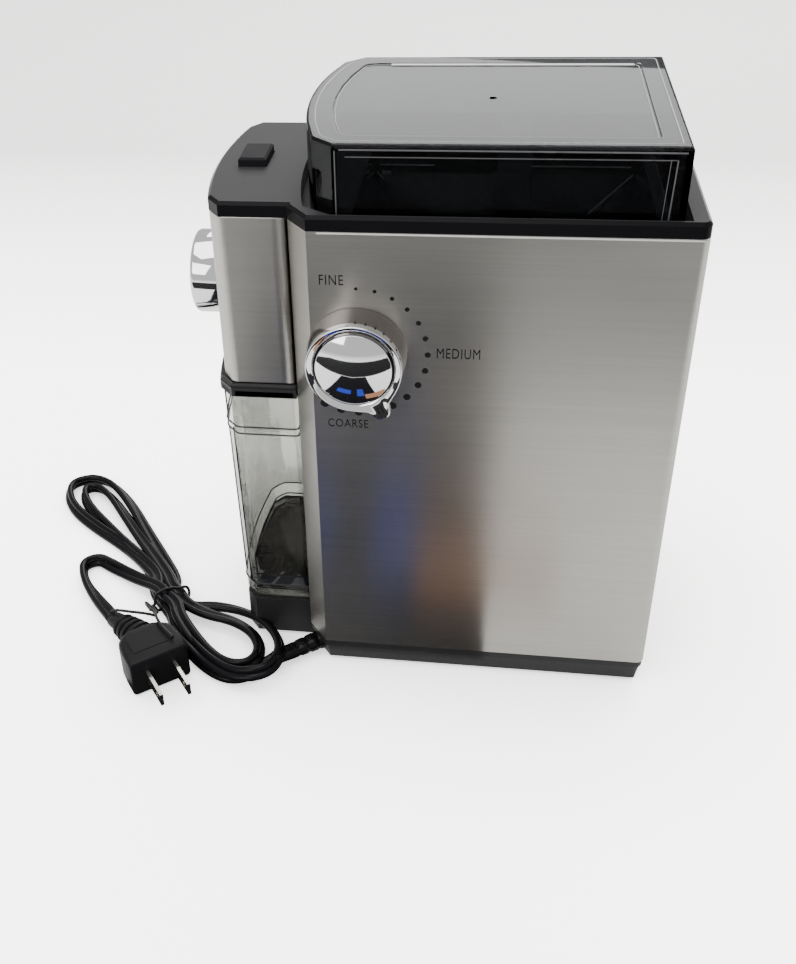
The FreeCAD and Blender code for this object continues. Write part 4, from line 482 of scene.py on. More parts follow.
# x, y, height of the underside, and how far the flat lead is turned up on its edge, in degrees
LEAD_ROUTE = [
    (54.29, -63.33, 3.6, 0), (58.9, -68.6, 1.9, 0), (64.6, -76.0, 0.4, 5),
    (65.2, -84.0, 0.1, 5), (60.0, -93.6, 0.1, 5), (51.0, -103.4, 0.1, 0),
    (39.5, -112.6, 0.1, 0),
    at_tie(10, -4.4, 0.1), at_tie(0, -4, 0.1), at_tie(-10, -4, 0.1),
    (-1, -135.0, 0.1, 10), (-12.8, -146.0, 0.1, 20), (-24.0, -160.0, 0.1, 30),
    (-34.0, -175.0, 0.1, 40), (-46.0, -190.4, 0.1, 52), (-58.0, -199.4, 0.1, 62),
    (-70.5, -202.6, 0.1, 70), (-77.5, -193.0, 0.1, 70), (-75.5, -182.0, 0.1, 62),
    (-66.5, -171.5, 0.1, 50), (-52.0, -160.0, 0.1, 35), (-32.7, -147.2, 0.1, 20),
    (-14.5, -134.4, 0.1, 10), (1.6, -123.4, 0.1, 0), at_tie(-9, 4.4, 0.1),
    at_tie(0, 4, 0.1), at_tie(9, 5, 0.4, 5),
    (20.6, -98.6, 1.2, 20), (23.5, -84.5, 1.4, 35), (30.5, -73.0, 2.2, 50),
    (41.5, -64.6, 3.8, 62), (54.0, -60.2, 6.4, 66), (66.0, -62.0, 8.0, 66),
    (70.5, -69.4, 7.2, 64), (68.5, -81.0, 4.6, 56), (60.8, -92.6, 3.8, 40),
    (50.4, -103.4, 3.8, 25), (39.0, -112.8, 3.8, 10),
    at_tie(10, -4, 3.8), at_tie(0, -4, 3.8), at_tie(-9, -3.6, 3.8),
    (3.0, -132.0, 3.0, 15), (-9.5, -143.3, 1.2, 25), (-21.7, -156.5, 0.1, 35),
    (-35.0, -170.2, 0.1, 50), (-47.5, -182.6, 0.1, 62), (-58.5, -190.6, 0.1, 70),
    (-67.5, -193.2, 0.1, 75), (-70.0, -185.8, 0.1, 70), (-61.5, -175.6, 0.1, 55),
    (-46.4, -163.8, 0.1, 35), (-28.1, -150.0, 0.4, 20), (-11.6, -137.6, 2.6, 8),
    (3.0, -126.6, 3.6, 0), at_tie(-8, 3.6, 3.8), at_tie(0, 4, 3.8), at_tie(9, 2.4, 4.6, 5),
    (30.2, -100.6, 4.4, 15), (32.8, -87.4, 3.6, 30), (39.5, -76.6, 3.2, 42),
    (48.8, -71.0, 3.4, 52), (58.4, -70.6, 4.4, 58), (64.2, -76.0, 4.6, 58),
    (62.6, -85.6, 3.9, 50), (54.8, -95.6, 3.9, 36), (44.0, -105.6, 5.6, 18),
    (34.5, -113.0, 7.3, 5),
    at_tie(9, -2, 7.5), at_tie(0, -3.4, 7.5), at_tie(-9, -3.4, 6.4),
    (7.0, -139.8, 3.0, 8), (0.4, -149.6, 0.8, 20), (-5.0, -159.4, 0.1, 45),
    (-8.6, -166.2, 0.1, 70), (-3.4, -173.0, 0.1, 85), (4.4, -170.4, 0.1, 80),
    (11.0, -166.4, 0.1, 65), (18.4, -160.6, 0.8, 40), (25.6, -154.6, 2.4, 18),
    (32.0, -149.2, 4.2, 4), (37.35, -144.59, 5.1, 0),
]


def spline_points(name, points, finest=10):
    """The smooth line through a list of control points, as it is evaluated."""
    curve = bpy.data.curves.new(name, "CURVE")
    curve.dimensions = "3D"
    curve.resolution_u = finest
    line = curve.splines.new("NURBS")
    line.points.add(len(points) - 1)
    for control, point in zip(line.points, points):
        control.co = (point[0], point[1], point[2], 1)
    line.order_u = 3
    line.use_endpoint_u = True
    holder = bpy.data.objects.new(name, curve)
    bpy.context.scene.collection.objects.link(holder)
    bpy.context.view_layer.update()
    mesh = bpy.data.meshes.new_from_object(
        holder.evaluated_get(bpy.context.evaluated_depsgraph_get()))
    found = [vertex.co.copy() for vertex in mesh.vertices]
    bpy.data.meshes.remove(mesh)
    bpy.data.objects.remove(holder)
    bpy.data.curves.remove(curve)
    return found


def lead_centre(point):
    """The middle of the lead, from where its underside is and how far it is turned."""
    x, y, under, turn = point
    return x, y, under + CORE + CORE_APART * math.sin(math.radians(turn))


def lead_section():
    """The flat lead's outline: two round cores with a groove between them."""
    outline = []
    half_open = math.radians(24)
    for side in (1, -1):
        for step in range(11):
            angle = -math.pi + half_open + (TURN - 2 * half_open) * step / 10
            outline.append((side * (CORE_APART + CORE * math.cos(angle)),
                            side * CORE * math.sin(angle)))
    return outline


lead_line = spline_points("lead_route", [
    [number * MM for number in lead_centre(point)] for point in LEAD_ROUTE])
lead_turns = [spot.x for spot in spline_points("lead_turns", [
    (point[3], 0.001 * index, 0) for index, point in enumerate(LEAD_ROUTE)])]
section = lead_section()
lead_rings = []
for index, spot in enumerate(lead_line):
    heading = (lead_line[min(index + 1, len(lead_line) - 1)]
               - lead_line[max(index - 1, 0)]).normalized()
    side = heading.cross(Vector((0, 0, 1))).normalized()
    above = side.cross(heading)
    turn = math.radians(lead_turns[index])
    wide = side * math.cos(turn) + above * math.sin(turn)
    thick = heading.cross(wide) * -1
    lead_rings.append([spot + (wide * a + thick * b) * MM for a, b in section])
lead = new_piece("mains_lead", rings_mesh("mains_lead", lead_rings), LEAD, "housing")
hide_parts("power_cord", "cord_hank", "cord_tail")


# ------------------------------------------------------------------ plug and tie

PLUG_FACE = Vector((71.5, -111.5, 0.0))
PLUG_TURN = math.radians(36.9)
PLUG_NOSE = Vector((math.cos(PLUG_TURN), math.sin(PLUG_TURN), 0))
PLUG_SIDE = Vector((-math.sin(PLUG_TURN), math.cos(PLUG_TURN), 0))
RELIEF_TIP = Vector((37.35, -144.59, 6.92))


def soft_box(half_wide, half_high, corner, steps=6):
    """A rounded rectangle as (across, up) points."""
    outline = []
    corner = min(corner, half_wide * 0.999, half_high * 0.999)
    for quarter in range(4):
        sx = 1 if quarter in (0, 3) else -1
        sy = 1 if quarter in (0, 1) else -1
        for step in range(steps + 1):
            angle = math.pi / 2 * (quarter + step / steps)
            outline.append((sx * (half_wide - corner) + corner * math.cos(angle),
                            sy * (half_high - corner) + corner * math.sin(angle)))
    return outline


# distance behind the face, half width, half height, corner radius
PLUG_BODY = [
    (0.0, 12.8, 8.5, 1.4), (0.4, 13.5, 9.2, 1.6), (1.0, 13.8, 9.45, 1.8),
    (9.0, 13.8, 9.45, 1.8), (15.0, 13.4, 9.4, 2.2), (18.5, 12.4, 9.2, 2.8),
    (21.4, 10.4, 8.7, 3.8), (23.2, 8.8, 7.9, 4.6), (24.0, 7.6, 7.0, 5.0),
]
RELIEF_RIBS = [
    (0.0, 6.4, 6.0), (0.8, 6.4, 6.0), (1.3, 7.7, 7.0), (3.4, 7.6, 6.9), (4.0, 5.6, 5.4),
    (4.9, 5.6, 5.3), (5.5, 7.2, 6.6), (7.5, 7.1, 6.4), (8.1, 5.3, 5.0), (9.0, 5.2, 4.9),
    (9.6, 6.7, 6.0), (11.5, 6.5, 5.8), (12.1, 5.0, 4.6), (13.0, 4.9, 4.5), (13.6, 6.1, 5.3),
    (15.4, 5.9, 5.1), (16.1, 4.6, 4.2), (18.5, 4.4, 3.6), (22.5, 4.1, 2.7), (23.6, 3.8, 2.2),
]

plug_rings = []
for back, half_wide, half_high, corner in PLUG_BODY:
    plug_rings.append([
        (PLUG_FACE - PLUG_NOSE * back + PLUG_SIDE * a + Vector((0, 0, b + 9.5))) * MM
        for a, b in soft_box(half_wide, half_high, corner)])
relief_root = PLUG_FACE - PLUG_NOSE * 24.0 + Vector((0, 0, 9.5))
relief_way = (RELIEF_TIP - relief_root).normalized()
relief_side = relief_way.cross(Vector((0, 0, -1))).normalized()
relief_up = relief_side.cross(relief_way)
if relief_up.z < 0:
    relief_up.negate()
if relief_side.dot(PLUG_SIDE) < 0:
    relief_side.negate()
for back, half_wide, half_high in RELIEF_RIBS:
    plug_rings.append([
        (relief_root + relief_way * back + relief_side * a + relief_up * b) * MM
        for a, b in soft_box(half_wide, half_high, min(half_wide, half_high) * 0.95)])
plug = new_piece("plug_moulding", rings_mesh("plug_moulding", plug_rings), PLUG, "housing")
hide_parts("plug_body")
rounded(plug, 0.35 * MM, 2, 35)

plate_rings = []
for lift, inset in ((9.3, 0.0), (9.75, 0.25)):
    plate_rings.append([
        (PLUG_FACE - PLUG_NOSE * (12.6 - along * (6.4 - inset)) + PLUG_SIDE * across *
         (9.6 - inset) + Vector((0, 0, 9.5 + lift))) * MM
        for along, across in ((-1, -1), (1, -1), (1, 1), (-1, 1))])
grip_plate = new_piece("plug_grip_plate", rings_mesh("plug_grip_plate", plate_rings), PLUG,
                       "housing")
rounded(grip_plate, 0.2 * MM, 2)


def wire(name, points, radius, material, body, sides=10):
    """A round wire along a smooth line, given in millimetres."""
    line = spline_points(name, [[number * MM for number in point] for point in points])
    rings = []
    above = Vector((0.31, 0.17, 0.93)).normalized()
    for index, spot in enumerate(line):
        heading = (line[min(index + 1, len(line) - 1)] - line[max(index - 1, 0)]).normalized()
        side = heading.cross(above).normalized()
        above = side.cross(heading)
        rings.append([spot + (side * math.cos(TURN * step / sides)
                              + above * math.sin(TURN * step / sides)) * radius * MM
                      for step in range(sides)])
    return new_piece(name, rings_mesh(name, rings), material, body)


def tie_spot(along, across, height):
    return at_tie(along, across, height)[:3]


tie = wire("tie_wire", [
    tie_spot(0.8, -12.5, 3.4), tie_spot(-0.6, -11.4, 4.6), tie_spot(0.4, -9.6, 5.4),
    tie_spot(0.0, -8.9, 8.8), tie_spot(0.2, -8.0, 11.6), tie_spot(-0.2, -3.8, 12.0),
    tie_spot(0.2, 0.6, 11.2), tie_spot(-0.2, 4.0, 8.6), tie_spot(0.0, 8.0, 8.4),
    tie_spot(0.2, 9.2, 5.4), tie_spot(0.0, 8.9, 1.2), tie_spot(0.0, 5.0, 0.55),
    tie_spot(0.1, 0.0, 0.55), tie_spot(-0.1, -5.0, 0.55), tie_spot(0.0, -8.6, 0.8),
    tie_spot(0.6, -9.4, 3.8), tie_spot(-0.4, -10.6, 5.0), tie_spot(-0.8, -12.5, 4.2),
], 0.75, TIE, "housing")
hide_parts("twist_tie")
tie_ends = [
    wire("tie_end_over_relief", [
        tie_spot(0.8, -12.2, 3.8), tie_spot(-0.9, -13.2, 6.4), tie_spot(0.7, -14.2, 9.0),
        (39.4, -121.0, 11.6), (40.2, -125.0, 13.6), (40.8, -129.6, 14.6),
        (40.4, -134.4, 14.4), (38.8, -139.0, 13.2), (37.0, -142.8, 11.6),
        (36.0, -145.6, 9.6),
    ], 0.7, TIE, "housing"),
    wire("tie_end_towards_plug", [
        tie_spot(-0.8, -12.2, 4.6), tie_spot(0.9, -13.2, 7.2), tie_spot(-0.7, -14.2, 9.8),
        (39.6, -120.6, 14.0), (43.0, -121.0, 18.0),
        (49.4, -118.4, 20.6), (56.0, -113.8, 20.9), (61.5, -107.4, 20.7),
    ], 0.7, TIE, "housing"),
]

GLAND_AT = Vector((38.24, -42.37, 5.4))
GLAND_WAY = Vector((0.608, -0.794, 0))
GLAND_SIDE = Vector((0.794, 0.608, 0))
# distance along the boot, half width, half thickness
BOOT = [
    (0.0, 5.0, 5.0), (2.0, 5.0, 5.0), (2.6, 4.6, 4.2), (4.0, 4.5, 3.9), (4.4, 4.2, 3.4),
    (5.6, 4.2, 3.4), (6.0, 4.45, 3.7), (9.0, 4.35, 3.4), (9.4, 4.0, 2.9), (10.6, 4.0, 2.9),
    (11.0, 4.3, 3.2), (14.0, 4.2, 2.9), (14.4, 3.9, 2.5), (15.6, 3.9, 2.5), (16.0, 4.1, 2.7),
    (19.0, 4.0, 2.5), (23.0, 3.85, 2.25), (26.3, 3.75, 2.05), (26.5, 3.5, 1.8),
]
boot = new_piece("cord_boot", rings_mesh("cord_boot", [
    [(GLAND_AT + GLAND_WAY * along + GLAND_SIDE * a + Vector((0, 0, b))) * MM
     for a, b in soft_box(wide, thick, min(wide, thick) * 0.98)]
    for along, wide, thick in BOOT]), LEAD, "housing")
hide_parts("cord_gland")


# ------------------------------------------------------------------ grind dial and timer knob

NOSE_ANGLE = math.radians(150)


def nose(angle):
    """How far the dial's pointer stands out of its round, from 0 to 1."""
    away = math.degrees(abs((angle - NOSE_ANGLE + math.pi) % TURN - math.pi))
    return 0.72 * math.exp(-(away / 10.0) ** 4) + 0.28 * math.exp(-(away / 19.0) ** 2)


# radius, height from the panel, share of the pointer
DIAL_PROFILE = [
    (18.9, 0.15, 0.0), (19.0, 0.6, 0.0), (18.8, 3.0, 0.05), (18.6, 5.2, 0.30),
    (18.35, 8.0, 0.75), (18.1, 11.0, 1.0), (18.0, 12.6, 1.0), (17.9, 13.15, 1.0),
    (17.85, 13.6, 0.99), (17.65, 13.85, 0.97), (17.35, 13.85, 0.93), (16.6, 13.42, 0.62),
    (15.9, 13.02, 0.25), (15.35, 12.7, 0.0), (15.15, 12.4, 0.0), (15.0, 11.4, 0.0),
    (14.4, 11.3, 0.0),
]
DOME_EDGE = 14.6
DOME_RADIUS = 31.4
DOME_CROWN = 16.9
NOSE_REACH = 5.6

# painted reflection: the barrel's chrome is darkened and browned to stand in for the dark
# reflections it shows
BARREL_PAINTED_REFLECTION = polished("barrel_chrome_painted_reflection", (0.30, 0.275, 0.265), 0.09)

dial_rings = []
for radius, height, share in DIAL_PROFILE:
    dial_rings.append([])
    for step in range(144):
        angle = TURN * step / 144
        reach = (radius + NOSE_REACH * share * nose(angle)) * MM
        dial_rings[-1].append((PANEL_X + height * MM, DIAL_Y + reach * math.sin(angle),
                               DIAL_Z + reach * math.cos(angle)))
dome_rings = []
for step in range(16):
    radius = DOME_EDGE * (1 - (step / 16) ** 1.2)
    height = DOME_CROWN - DOME_RADIUS + math.sqrt(DOME_RADIUS ** 2 - radius ** 2)
    dome_rings.append([(PANEL_X + height * MM,
                        DIAL_Y + radius * MM * math.sin(TURN * turn / 144),
                        DIAL_Z + radius * MM * math.cos(TURN * turn / 144))
                       for turn in range(144)])
# the barrel wears the painted reflection's darkened chrome, the top plain chrome
dial = new_piece("dial_cap", rings_mesh("dial_cap", dial_rings), BARREL_PAINTED_REFLECTION, "dial")
dial.data.materials.append(CHROME)
dial.data.materials.append(INNER)
for face in dial.data.polygons:
    height = (face.center.x - PANEL_X) / MM
    radius = math.hypot(face.center.y - DIAL_Y, face.center.z - DIAL_Z) / MM
    if radius < 15.1 and len(face.vertices) == 4:
        face.material_index = 2
    elif height > 11.5:
        face.material_index = 1
new_piece("dial_dome", rings_mesh("dial_dome", dome_rings), CHROME, "dial")
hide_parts("grind_dial")

for offset in (-0.75, 0.75):
    middle = Vector((math.sin(NOSE_ANGLE), math.cos(NOSE_ANGLE)))
    beside = Vector((middle.y, -middle.x)) * offset
    groove_points = []
    for reach in (17.9, 19.3, 20.8):
        spot = middle * reach + beside
        groove_points.append((PANEL_X / MM + 13.9 - 0.03 * (reach - 17.9), DIAL_Y / MM + spot.x,
                              DIAL_Z / MM + spot.y))
    wire("dial_mark_" + ("left" if offset < 0 else "right"), groove_points, 0.16, PRINT,
         "dial", 6)

KNOB_PROFILE = [
    (16.9, 0.1), (17.3, 0.4), (17.4, 1.0), (17.4, 10.6), (17.2, 11.4), (16.8, 11.9),
    (15.8, 12.4), (13.0, 13.0), (9.0, 13.5), (4.0, 13.75), (0.4, 13.8),
]
knob_rings = []
for radius, depth in KNOB_PROFILE:
    knob_rings.append([(MIDDLE_X + radius * MM * math.cos(TURN * turn / 128),
                        knob_high.y - depth * MM,
                        KNOB_Z + radius * MM * math.sin(TURN * turn / 128))
                       for turn in range(128)])
knob = new_piece("knob_cap", rings_mesh("knob_cap", knob_rings), CHROME, "knob")
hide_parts("quantity_knob")


def slab(name, low, high, material, body, bevel=0.1):
    """A thin printed or inlaid strip, also used for painted highlights."""
    low, high = Vector(low), Vector(high)
    corners = [(low.x, low.y), (high.x, low.y), (high.x, high.y), (low.x, high.y)]
    mesh = rings_mesh(name, [[(x, y, z) for x, y in corners] for z in (low.z, high.z)])
    for face in mesh.polygons:
        face.use_smooth = False
    piece = new_piece(name, mesh, material, body)
    rounded(piece, bevel * MM, 2)
    return piece


slab("knob_mark", (MIDDLE_X - 0.7 * MM, knob_low.y + 0.35 * MM, KNOB_Z + 5.0 * MM),
     (MIDDLE_X + 0.7 * MM, knob_low.y + 0.6 * MM, KNOB_Z + 12.4 * MM), PRINT, "knob",
     0.05)


# ------------------------------------------------------------------ printed scale

for number in range(15):
    angle = math.radians(15 * number)
    spot = Vector((26.4 * math.sin(angle), 26.4 * math.cos(angle))) * MM
    radius = (0.65 + 1.15 * number / 14) * MM
    disc = [[(PANEL_X + lift, DIAL_Y + spot.x + (radius - shrink) * math.sin(
        TURN * turn / 28), DIAL_Z + spot.y + (radius - shrink) * math.cos(
            TURN * turn / 28)) for turn in range(28)]
            for lift, shrink in ((-0.00002, 0), (0.00004, 0), (0.00007, 0.00006))]
    new_piece("scale_dot_%02d" % (number + 1), rings_mesh("scale_dot", disc), PRINT, "housing")


def print_word(word, low_y, high_y, low_z, high_z):
    """A word printed on the dial's panel, fitted to its box."""
    curve = bpy.data.curves.new("word_" + word.lower(), "FONT")
    curve.body = word
    curve.extrude = 0.02
    curve.resolution_u = 4
    curve.space_character = 1.12
    holder = bpy.data.objects.new("word_" + word.lower(), curve)
    bpy.context.scene.collection.objects.link(holder)
    bpy.context.view_layer.update()
    mesh = bpy.data.meshes.new_from_object(
        holder.evaluated_get(bpy.context.evaluated_depsgraph_get()))
    bpy.data.objects.remove(holder)
    across = [vertex.co.x for vertex in mesh.vertices]
    upward = [vertex.co.y for vertex in mesh.vertices]
    wide = (high_y - low_y) * MM / (max(across) - min(across))
    tall = (high_z - low_z) * MM / (max(upward) - min(upward))
    for vertex in mesh.vertices:
        x, y, z = vertex.co
        vertex.co = (PANEL_X + (0.00005 if z > 0 else -0.00005),
                     low_y * MM + (x - min(across)) * wide,
                     low_z * MM + (y - min(upward)) * tall)
    return new_piece("word_" + word.lower(), mesh, PRINT, "housing")


print_word("FINE", -36.3, -27.4, 189.7, 193.7)
print_word("MEDIUM", 6.9, 22.9, 160.8, 165.0)
print_word("COARSE", -35.1, -19.3, 128.4, 132.1)


# ------------------------------------------------------------------ front unit and container

def flowing(corners, soft, rounds=3):
    """A closed outline with its corners rounded over that distance, in millimetres."""
    control = []
    for index, corner in enumerate(corners):
        here = Vector(corner)
        before = Vector(corners[index - 1])
        after = Vector(corners[(index + 1) % len(corners)])
        for neighbour, first in ((before, True), (after, False)):
            span = (neighbour - here).length
            step = here + (neighbour - here) * min(0.5, soft / span)
            if first:
                control.extend([step, here])
            else:
                control.append(step)
    for _ in range(rounds):
        cut = []
        for index, here in enumerate(control):
            after = control[(index + 1) % len(control)]
            cut.extend([here * 0.75 + after * 0.25, here * 0.25 + after * 0.75])
        control = cut
    return control


def bowed(half, side, slope_half, slope, bow, back, grow=0.0):
    """A tray from above, its front bowed: points in millimetres round the casing's middle."""
    front = []
    reach = slope_half + 0.42 * grow
    line = slope - 0.93 * grow
    radius = bow + grow
    for step in range(7):
        x = -reach + 2 * reach * step / 6
        front.append((x, line - (math.sqrt(radius ** 2 - x ** 2)
                                 - math.sqrt(radius ** 2 - reach ** 2))))
    return front + [(half + grow, side - 0.5 * grow), (half + grow, back),
                    (-half - grow, back), (-half - grow, side - 0.5 * grow)]


def level_ring(half, side, slope_half, slope, bow, back, grow, height):
    """A softened bowed outline at one height, in metres."""
    outline = flowing(bowed(half, side, slope_half, slope, bow, back, grow), 3.2)
    return [(MIDDLE_X + x * MM, y * MM, height * MM) for x, y in outline]


# half width, side's front, front's half width, its slope, its bow's radius, back
BIN_MOUTH = (45.0, -75.25, 39.0, -80.75, 210.0, -49.25)
BIN_FOOT = (39.2, -75.0, 33.4, -80.25, 210.0, -49.25)
BIN_LOW, BIN_HIGH = 21.0, 136.4
NEAR_CORNER = 145


def bin_ring(height, grow):
    """One level of the container, between its bottom's outline and its mouth's."""
    share = (height - BIN_LOW) / (BIN_HIGH - BIN_LOW)
    form = [low + (high - low) * share for low, high in zip(BIN_FOOT, BIN_MOUTH)]
    return level_ring(*form[:5], form[5] - abs(grow), grow, height)


bin_rings = [bin_ring(height, grow) for height, grow in (
    (21.0, -1.6), (21.3, -0.7), (22.0, -0.2), (23.0, 0.0), (28.4, 0.0), (28.8, 0.25),
    (29.6, 0.25), (30.0, 0.0), (113.6, 0.0), (114.0, 0.3), (114.8, 0.3), (115.2, 0.0),
    (117.0, 0.0), (117.4, 0.3), (118.2, 0.3), (118.6, 0.0), (136.0, 0.0), (136.4, -0.4))]
bin_rings += [bin_ring(height, grow) for height, grow in (
    (136.4, -1.6), (136.0, -2.0), (100.0, -2.0), (60.0, -2.0), (27.0, -2.0), (24.8, -2.7),
    (23.8, -4.2), (23.5, -7.0))]
container = new_piece("clear_container", rings_mesh("clear_container", bin_rings), BIN_SMOKE,
                      "container")
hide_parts("grounds_container")
# painted shade: dark lines stand in for the dark look of the clear plastic's edges at the
# beads, the foot's fillet and the near corner
for name, height, grow in (("bead_painted_shade_high", 117.8, 0.3), ("bead_painted_shade_low", 114.4, 0.3),
                           ("foot_painted_shade_high", 29.2, 0.25), ("foot_painted_shade_low", 24.6, -2.2)):
    ring = [tuple(part / MM for part in point) for point in bin_ring(height, grow)[::3]]
    wire("container_" + name, ring + ring[:1], 0.36, PAINTED_EDGE_SHADE, "container",
         5)
for name, grow, first, last in (("corner_painted_shade_outer", -0.1, 31.0, 113.0),
                                ("corner_painted_shade_inner", -1.8, 25.0, 112.0),
                                ("corner_painted_shade_high", -0.1, 119.0, 133.0)):
    wire("container_" + name, [tuple(part / MM for part in bin_ring(height, grow)[NEAR_CORNER])
                               for height in (first, (first + last) / 2, last)], 0.36,
         PAINTED_EDGE_SHADE, "container", 5)

nose_path = flowing(bowed(45.4, -74.75, 38.7, -79.75, 189.0, -48.75), 4.2)
nose_path = [point for point in nose_path if point.y < -54]
turn_at = max(range(len(nose_path)), key=lambda index: (
    nose_path[index] - nose_path[index - 1]).length)
nose_path = nose_path[turn_at:] + nose_path[:turn_at]
nose_path = ([Vector((nose_path[0].x, -48.76))] + nose_path
             + [Vector((nose_path[-1].x, -48.76))])
levels = (140.1, 140.4, 158.0, 176.0, 209.9, 210.3)
skin_points = [(MIDDLE_X + point.x * MM, point.y * MM, level * MM)
               for level in levels for point in nose_path]
skin_faces = []
for level in range(len(levels) - 1):
    for index in range(len(nose_path) - 1):
        if levels[level] == 158.0 and max(abs(nose_path[index].x),
                                          abs(nose_path[index + 1].x)) < 9:
            continue
        first = level * len(nose_path) + index
        skin_faces.append((first, first + 1, first + len(nose_path) + 1,
                           first + len(nose_path)))
skin = new_piece("front_skin", mesh_of("front_skin", skin_points, skin_faces), STEEL,
                 "housing")
middle_face = skin.data.polygons[len(nose_path) // 2]
thicken = skin.modifiers.new("sheet", "SOLIDIFY")
thicken.thickness = 0.8 * MM
thicken.offset = -1 if middle_face.normal.y < 0 else 1
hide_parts("front_wrap_steel")

lid_levels = (
    (133.6, 1.0), (133.9, 1.2), (136.2, 1.2), (136.5, 1.05), (136.55, 0.75), (136.9, 0.7),
    (137.2, 0.8), (138.2, 0.8), (139.2, 0.4), (139.5, -0.4), (139.55, -4.0))
rim = [level_ring(*BIN_MOUTH, grow, level) for level, grow in lid_levels]
rim += [level_ring(*BIN_MOUTH[:5], BIN_MOUTH[5] - 0.02, grow, level) for level, grow in (
    (137.4, -4.0), (136.6, -1.0), (136.55, 0.1), (133.6, 0.1))]
rim.append(rim[0])
new_piece("container_lid_rim", rings_mesh("container_lid_rim", rim, False), BASE,
          "container")


# ------------------------------------------------------------------ painted highlight lines of the lid, hopper and casing

def lid_highlight_ring(name, inset, height, radius, material):
    """A painted highlight line round the lid's top, a fine bead that far inside its edge."""
    back = lid_high.y / MM - inset
    ring = flowing(bowed(53.6, -30.75, 46.0, -38.75, 154.6, back, -inset), 5.0, 2)
    points = [(MIDDLE_X / MM + x, y, height) for x, y in ring]
    points.append(points[0])
    return wire(name, points, radius, material, "lid", 6)


lid_highlight_ring("lid_painted_highlight_outer", 3.2, 240.75, 0.28, GREY_PAINTED_HIGHLIGHT)
lid_highlight_ring("lid_painted_highlight_inner", 9.2, 240.55, 0.32, GREY_PAINTED_HIGHLIGHT)
lid_highlight_ring("lid_painted_highlight_step", 10.4, 240.25, 0.22, GREY_PAINTED_HIGHLIGHT)
# painted highlight: a light strip stands in for the bright reflection along the lid's far edge
slab("lid_far_glint", (lid_low.x + 9.6 * MM, -0.019, 0.2402),
     (lid_low.x + 11.6 * MM, 0.0775, 0.2407), BRIGHT_PAINTED_HIGHLIGHT, "lid", 0.15)
NEAR_WALL = lid_high.x / MM - 0.05
# painted highlights: dim lines on the lid's near wall stand in for the light its edges catch
for name, points, radius in (
        ("top", ((-28, 238.9), (25, 238.9), (87.5, 238.9)), 0.32),
        ("under", ((-26, 236.4), (25, 236.4), (84.5, 236.4)), 0.2),
        ("back_a", ((84.6, 236.4), (84.2, 224), (83.8, 211.5)), 0.28),
        ("back_b", ((82.4, 236.2), (82.0, 224), (81.6, 211.5)), 0.16),
        ("front", ((-29.6, 238.5), (-29.6, 224), (-29.6, 210.5)), 0.26)):
    wire("lid_painted_highlight_line_" + name, [(NEAR_WALL, y, z) for y, z in points], radius, DIM_PAINTED_HIGHLIGHT,
         "lid", 6)
# painted highlights: light lines along the hopper's creases and ledges, and a small strip,
# stand in for their glints
for name, points, radius in (
        ("crease_front_painted_glint", ((-54.2, -25.6, 194.3), (-48.3, -18, 188), (-42.3, -10, 181.4)), 0.30),
        ("crease_back_painted_glint", ((-54.2, 82.2, 194.3), (-48.3, 73, 188), (-42.3, 64, 181.4)), 0.42),
        ("ledge_front_painted_glint", ((-54.2, -24.5, 197.6), (-54.2, -12, 197.6), (-54.2, -1, 197.6)), 0.30),
        ("ledge_back_painted_glint", ((-54.2, 40, 197.6), (-54.2, 62, 197.6), (-54.2, 81, 197.6)), 0.30)):
    wire("hopper_" + name, points, radius, GLINT, "housing", 6)
slab("hopper_glint", (-0.0541, -0.0235, 0.1935), (-0.0535, -0.0195, 0.1950), GLINT,
     "housing", 0.1)
# painted highlight: a light line along the casing's top edge stands in for the bright edge of
# the folded steel
wire("wrap_edge_glint", [(48.5, -36.5, 209.7), (48.5, 30, 209.7), (48.5, 98, 209.7)], 0.34,
     BRIGHT_PAINTED_HIGHLIGHT, "housing", 6)


# ------------------------------------------------------------------ edges of the CAD pieces

for name, width in (("body_wrap_steel", 0.25), ("top_cover", 0.35),
                    ("hopper_lid", 0.9), ("container_lid", 0.4),
                    ("base_tray", 0.8), ("start_button", 0.7), ("plug_blades", 0.25),
                    ("bean_hopper", 0.5), ("rubber_feet", 0.5),
                    ("front_unit_floor", 0.4), ("bay_wall", 0.3), ("burr_handle", 0.3),
                    ("burr_carrier", 0.3), ("bottom_plate", 0.3)):
    rounded(nodes[name], width * MM)


# ------------------------------------------------------------------ floor, light and cards

def card(name, corners, colour, camera_sees=False):
    """A flat card for the light to meet, no part of the object."""
    mesh = mesh_of(name, corners, [tuple(range(len(corners)))], smooth=False)
    paint = Paint(name)
    basic(paint, colour, 0.9, specular=0.1)
    mesh.materials.append(paint.material)
    piece = bpy.data.objects.new(name, mesh)
    bpy.context.scene.collection.objects.link(piece)
    piece.visible_camera = camera_sees
    return piece


def rectangle(x, y, wide, deep, height):
    """The corners of a level card, from its middle and its sides."""
    return [(x - wide / 2, y - deep / 2, height), (x + wide / 2, y - deep / 2, height),
            (x + wide / 2, y + deep / 2, height), (x - wide / 2, y + deep / 2, height)]


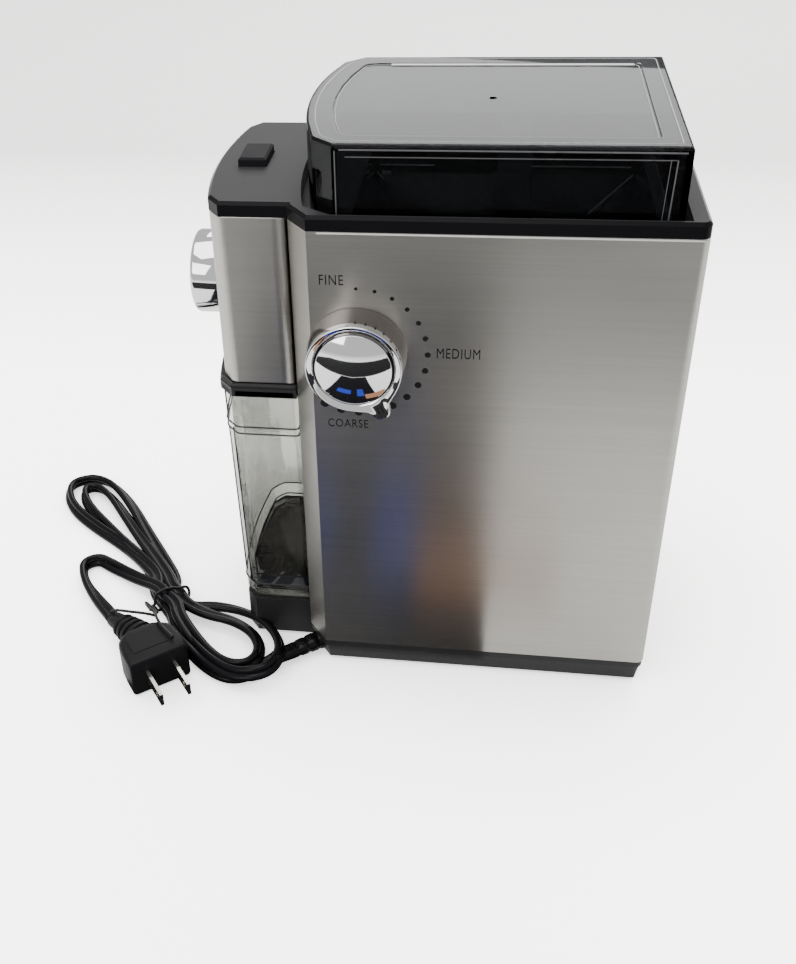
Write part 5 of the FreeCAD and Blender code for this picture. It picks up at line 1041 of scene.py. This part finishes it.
# the lower floor gives the light, and the upper one is what the camera sees
floor = card("table_top", rectangle(0, 0, 8, 8, -0.0006), (0.80, 0.80, 0.79))
floor_paint = floor.data.materials[0].node_tree.nodes["Principled BSDF"]
floor_paint.inputs["Emission Color"].default_value = (0.97, 0.975, 0.965, 1)
floor_paint.inputs["Emission Strength"].default_value = 0.30
shown_floor = card("shown_table_top", rectangle(0, 0, 8, 8, -0.0002), (0.85, 0.85, 0.84),
                   camera_sees=True)
shown_floor.visible_shadow = False
shown_floor.visible_diffuse = False
shown_floor.visible_glossy = False
shown_floor.visible_transmission = False
shown_paint = Paint("shown_table_top_painted_light_and_shadow")
basic(shown_paint, (0.90, 0.90, 0.89), 0.9, specular=0.1)
distance = shown_paint.add("ShaderNodeSeparateXYZ")
shown_paint.link(shown_paint.where, distance.inputs[0])
shown_paint.shader.inputs["Emission Color"].default_value = (0.985, 0.995, 0.975, 1)
# painted shadow: ambient occlusion dims the shown floor's glow near the object; painted light:
# the glow grows brighter towards +x, the camera's side
ao_contact_shadow = shown_paint.add("ShaderNodeAmbientOcclusion")
ao_contact_shadow.samples = 8
ao_contact_shadow.inputs["Distance"].default_value = 0.09
painted_floor_light_and_shadow = shown_paint.times(
    shown_paint.ramp(ao_contact_shadow.outputs["AO"], 0.2, 1.0, 0.25, 1.0),
    shown_paint.ramp(distance.outputs["X"], -0.62, -0.20, 0.9, 4.3))
shown_paint.link(painted_floor_light_and_shadow, shown_paint.shader.inputs["Emission Strength"])
shown_floor.data.materials[0] = shown_paint.material
# cards that only glossy surfaces mirror
for name, x, y, wide, deep, colour in (
        ("dark_floor_card", 0.1775, -0.05, 0.255, 0.16, (0.008, 0.008, 0.010)),
        ("dark_far_card", 0.630, 0.0, 0.640, 1.4, (0.012, 0.012, 0.013)),
        ("blue_floor_card", 0.150, -0.075, 0.030, 0.050, (0.03, 0.06, 0.45)),
        ("blue_floor_card_2", 0.150, -0.018, 0.050, 0.022, (0.03, 0.06, 0.45)),
        ("brown_floor_card", 0.120, 0.030, 0.030, 0.070, (0.45, 0.22, 0.12))):
    lift = 0.001 if name.startswith("dark") else 0.002
    flag = card(name, rectangle(x, y, wide, deep, lift), colour)
    flag.visible_diffuse = False
    flag.visible_shadow = False
    flag.visible_transmission = False


def lamp(name, at, toward, size, power, colour=(1, 1, 1)):
    data = bpy.data.lights.new(name, "AREA")
    data.shape = "RECTANGLE"
    data.size, data.size_y = size
    data.energy = power
    data.color = colour
    holder = bpy.data.objects.new(name, data)
    holder.location = at
    holder.rotation_euler = (Vector(toward) - Vector(at)).to_track_quat("-Z", "Y").to_euler()
    bpy.context.scene.collection.objects.link(holder)
    return holder


lamp("window", (-1.35, 0.25, 1.15), (0, 0, 0.2), (1.7, 1.1), 26, (1.0, 0.995, 0.97))
lamp("ceiling", (0.1, -0.3, 1.9), (0, 0, 0), (1.6, 1.6), 30)
lamp("low_front", (1.3, -0.9, 0.9), (0, 0, 0.12), (1.0, 0.8), 9)

world = bpy.data.worlds.new("room")
world.use_nodes = True
bpy.context.scene.world = world
sky = world.node_tree
backdrop = sky.nodes["Background"]
backdrop.inputs["Color"].default_value = (0.93, 0.935, 0.93, 1)
backdrop.inputs["Strength"].default_value = 0.75
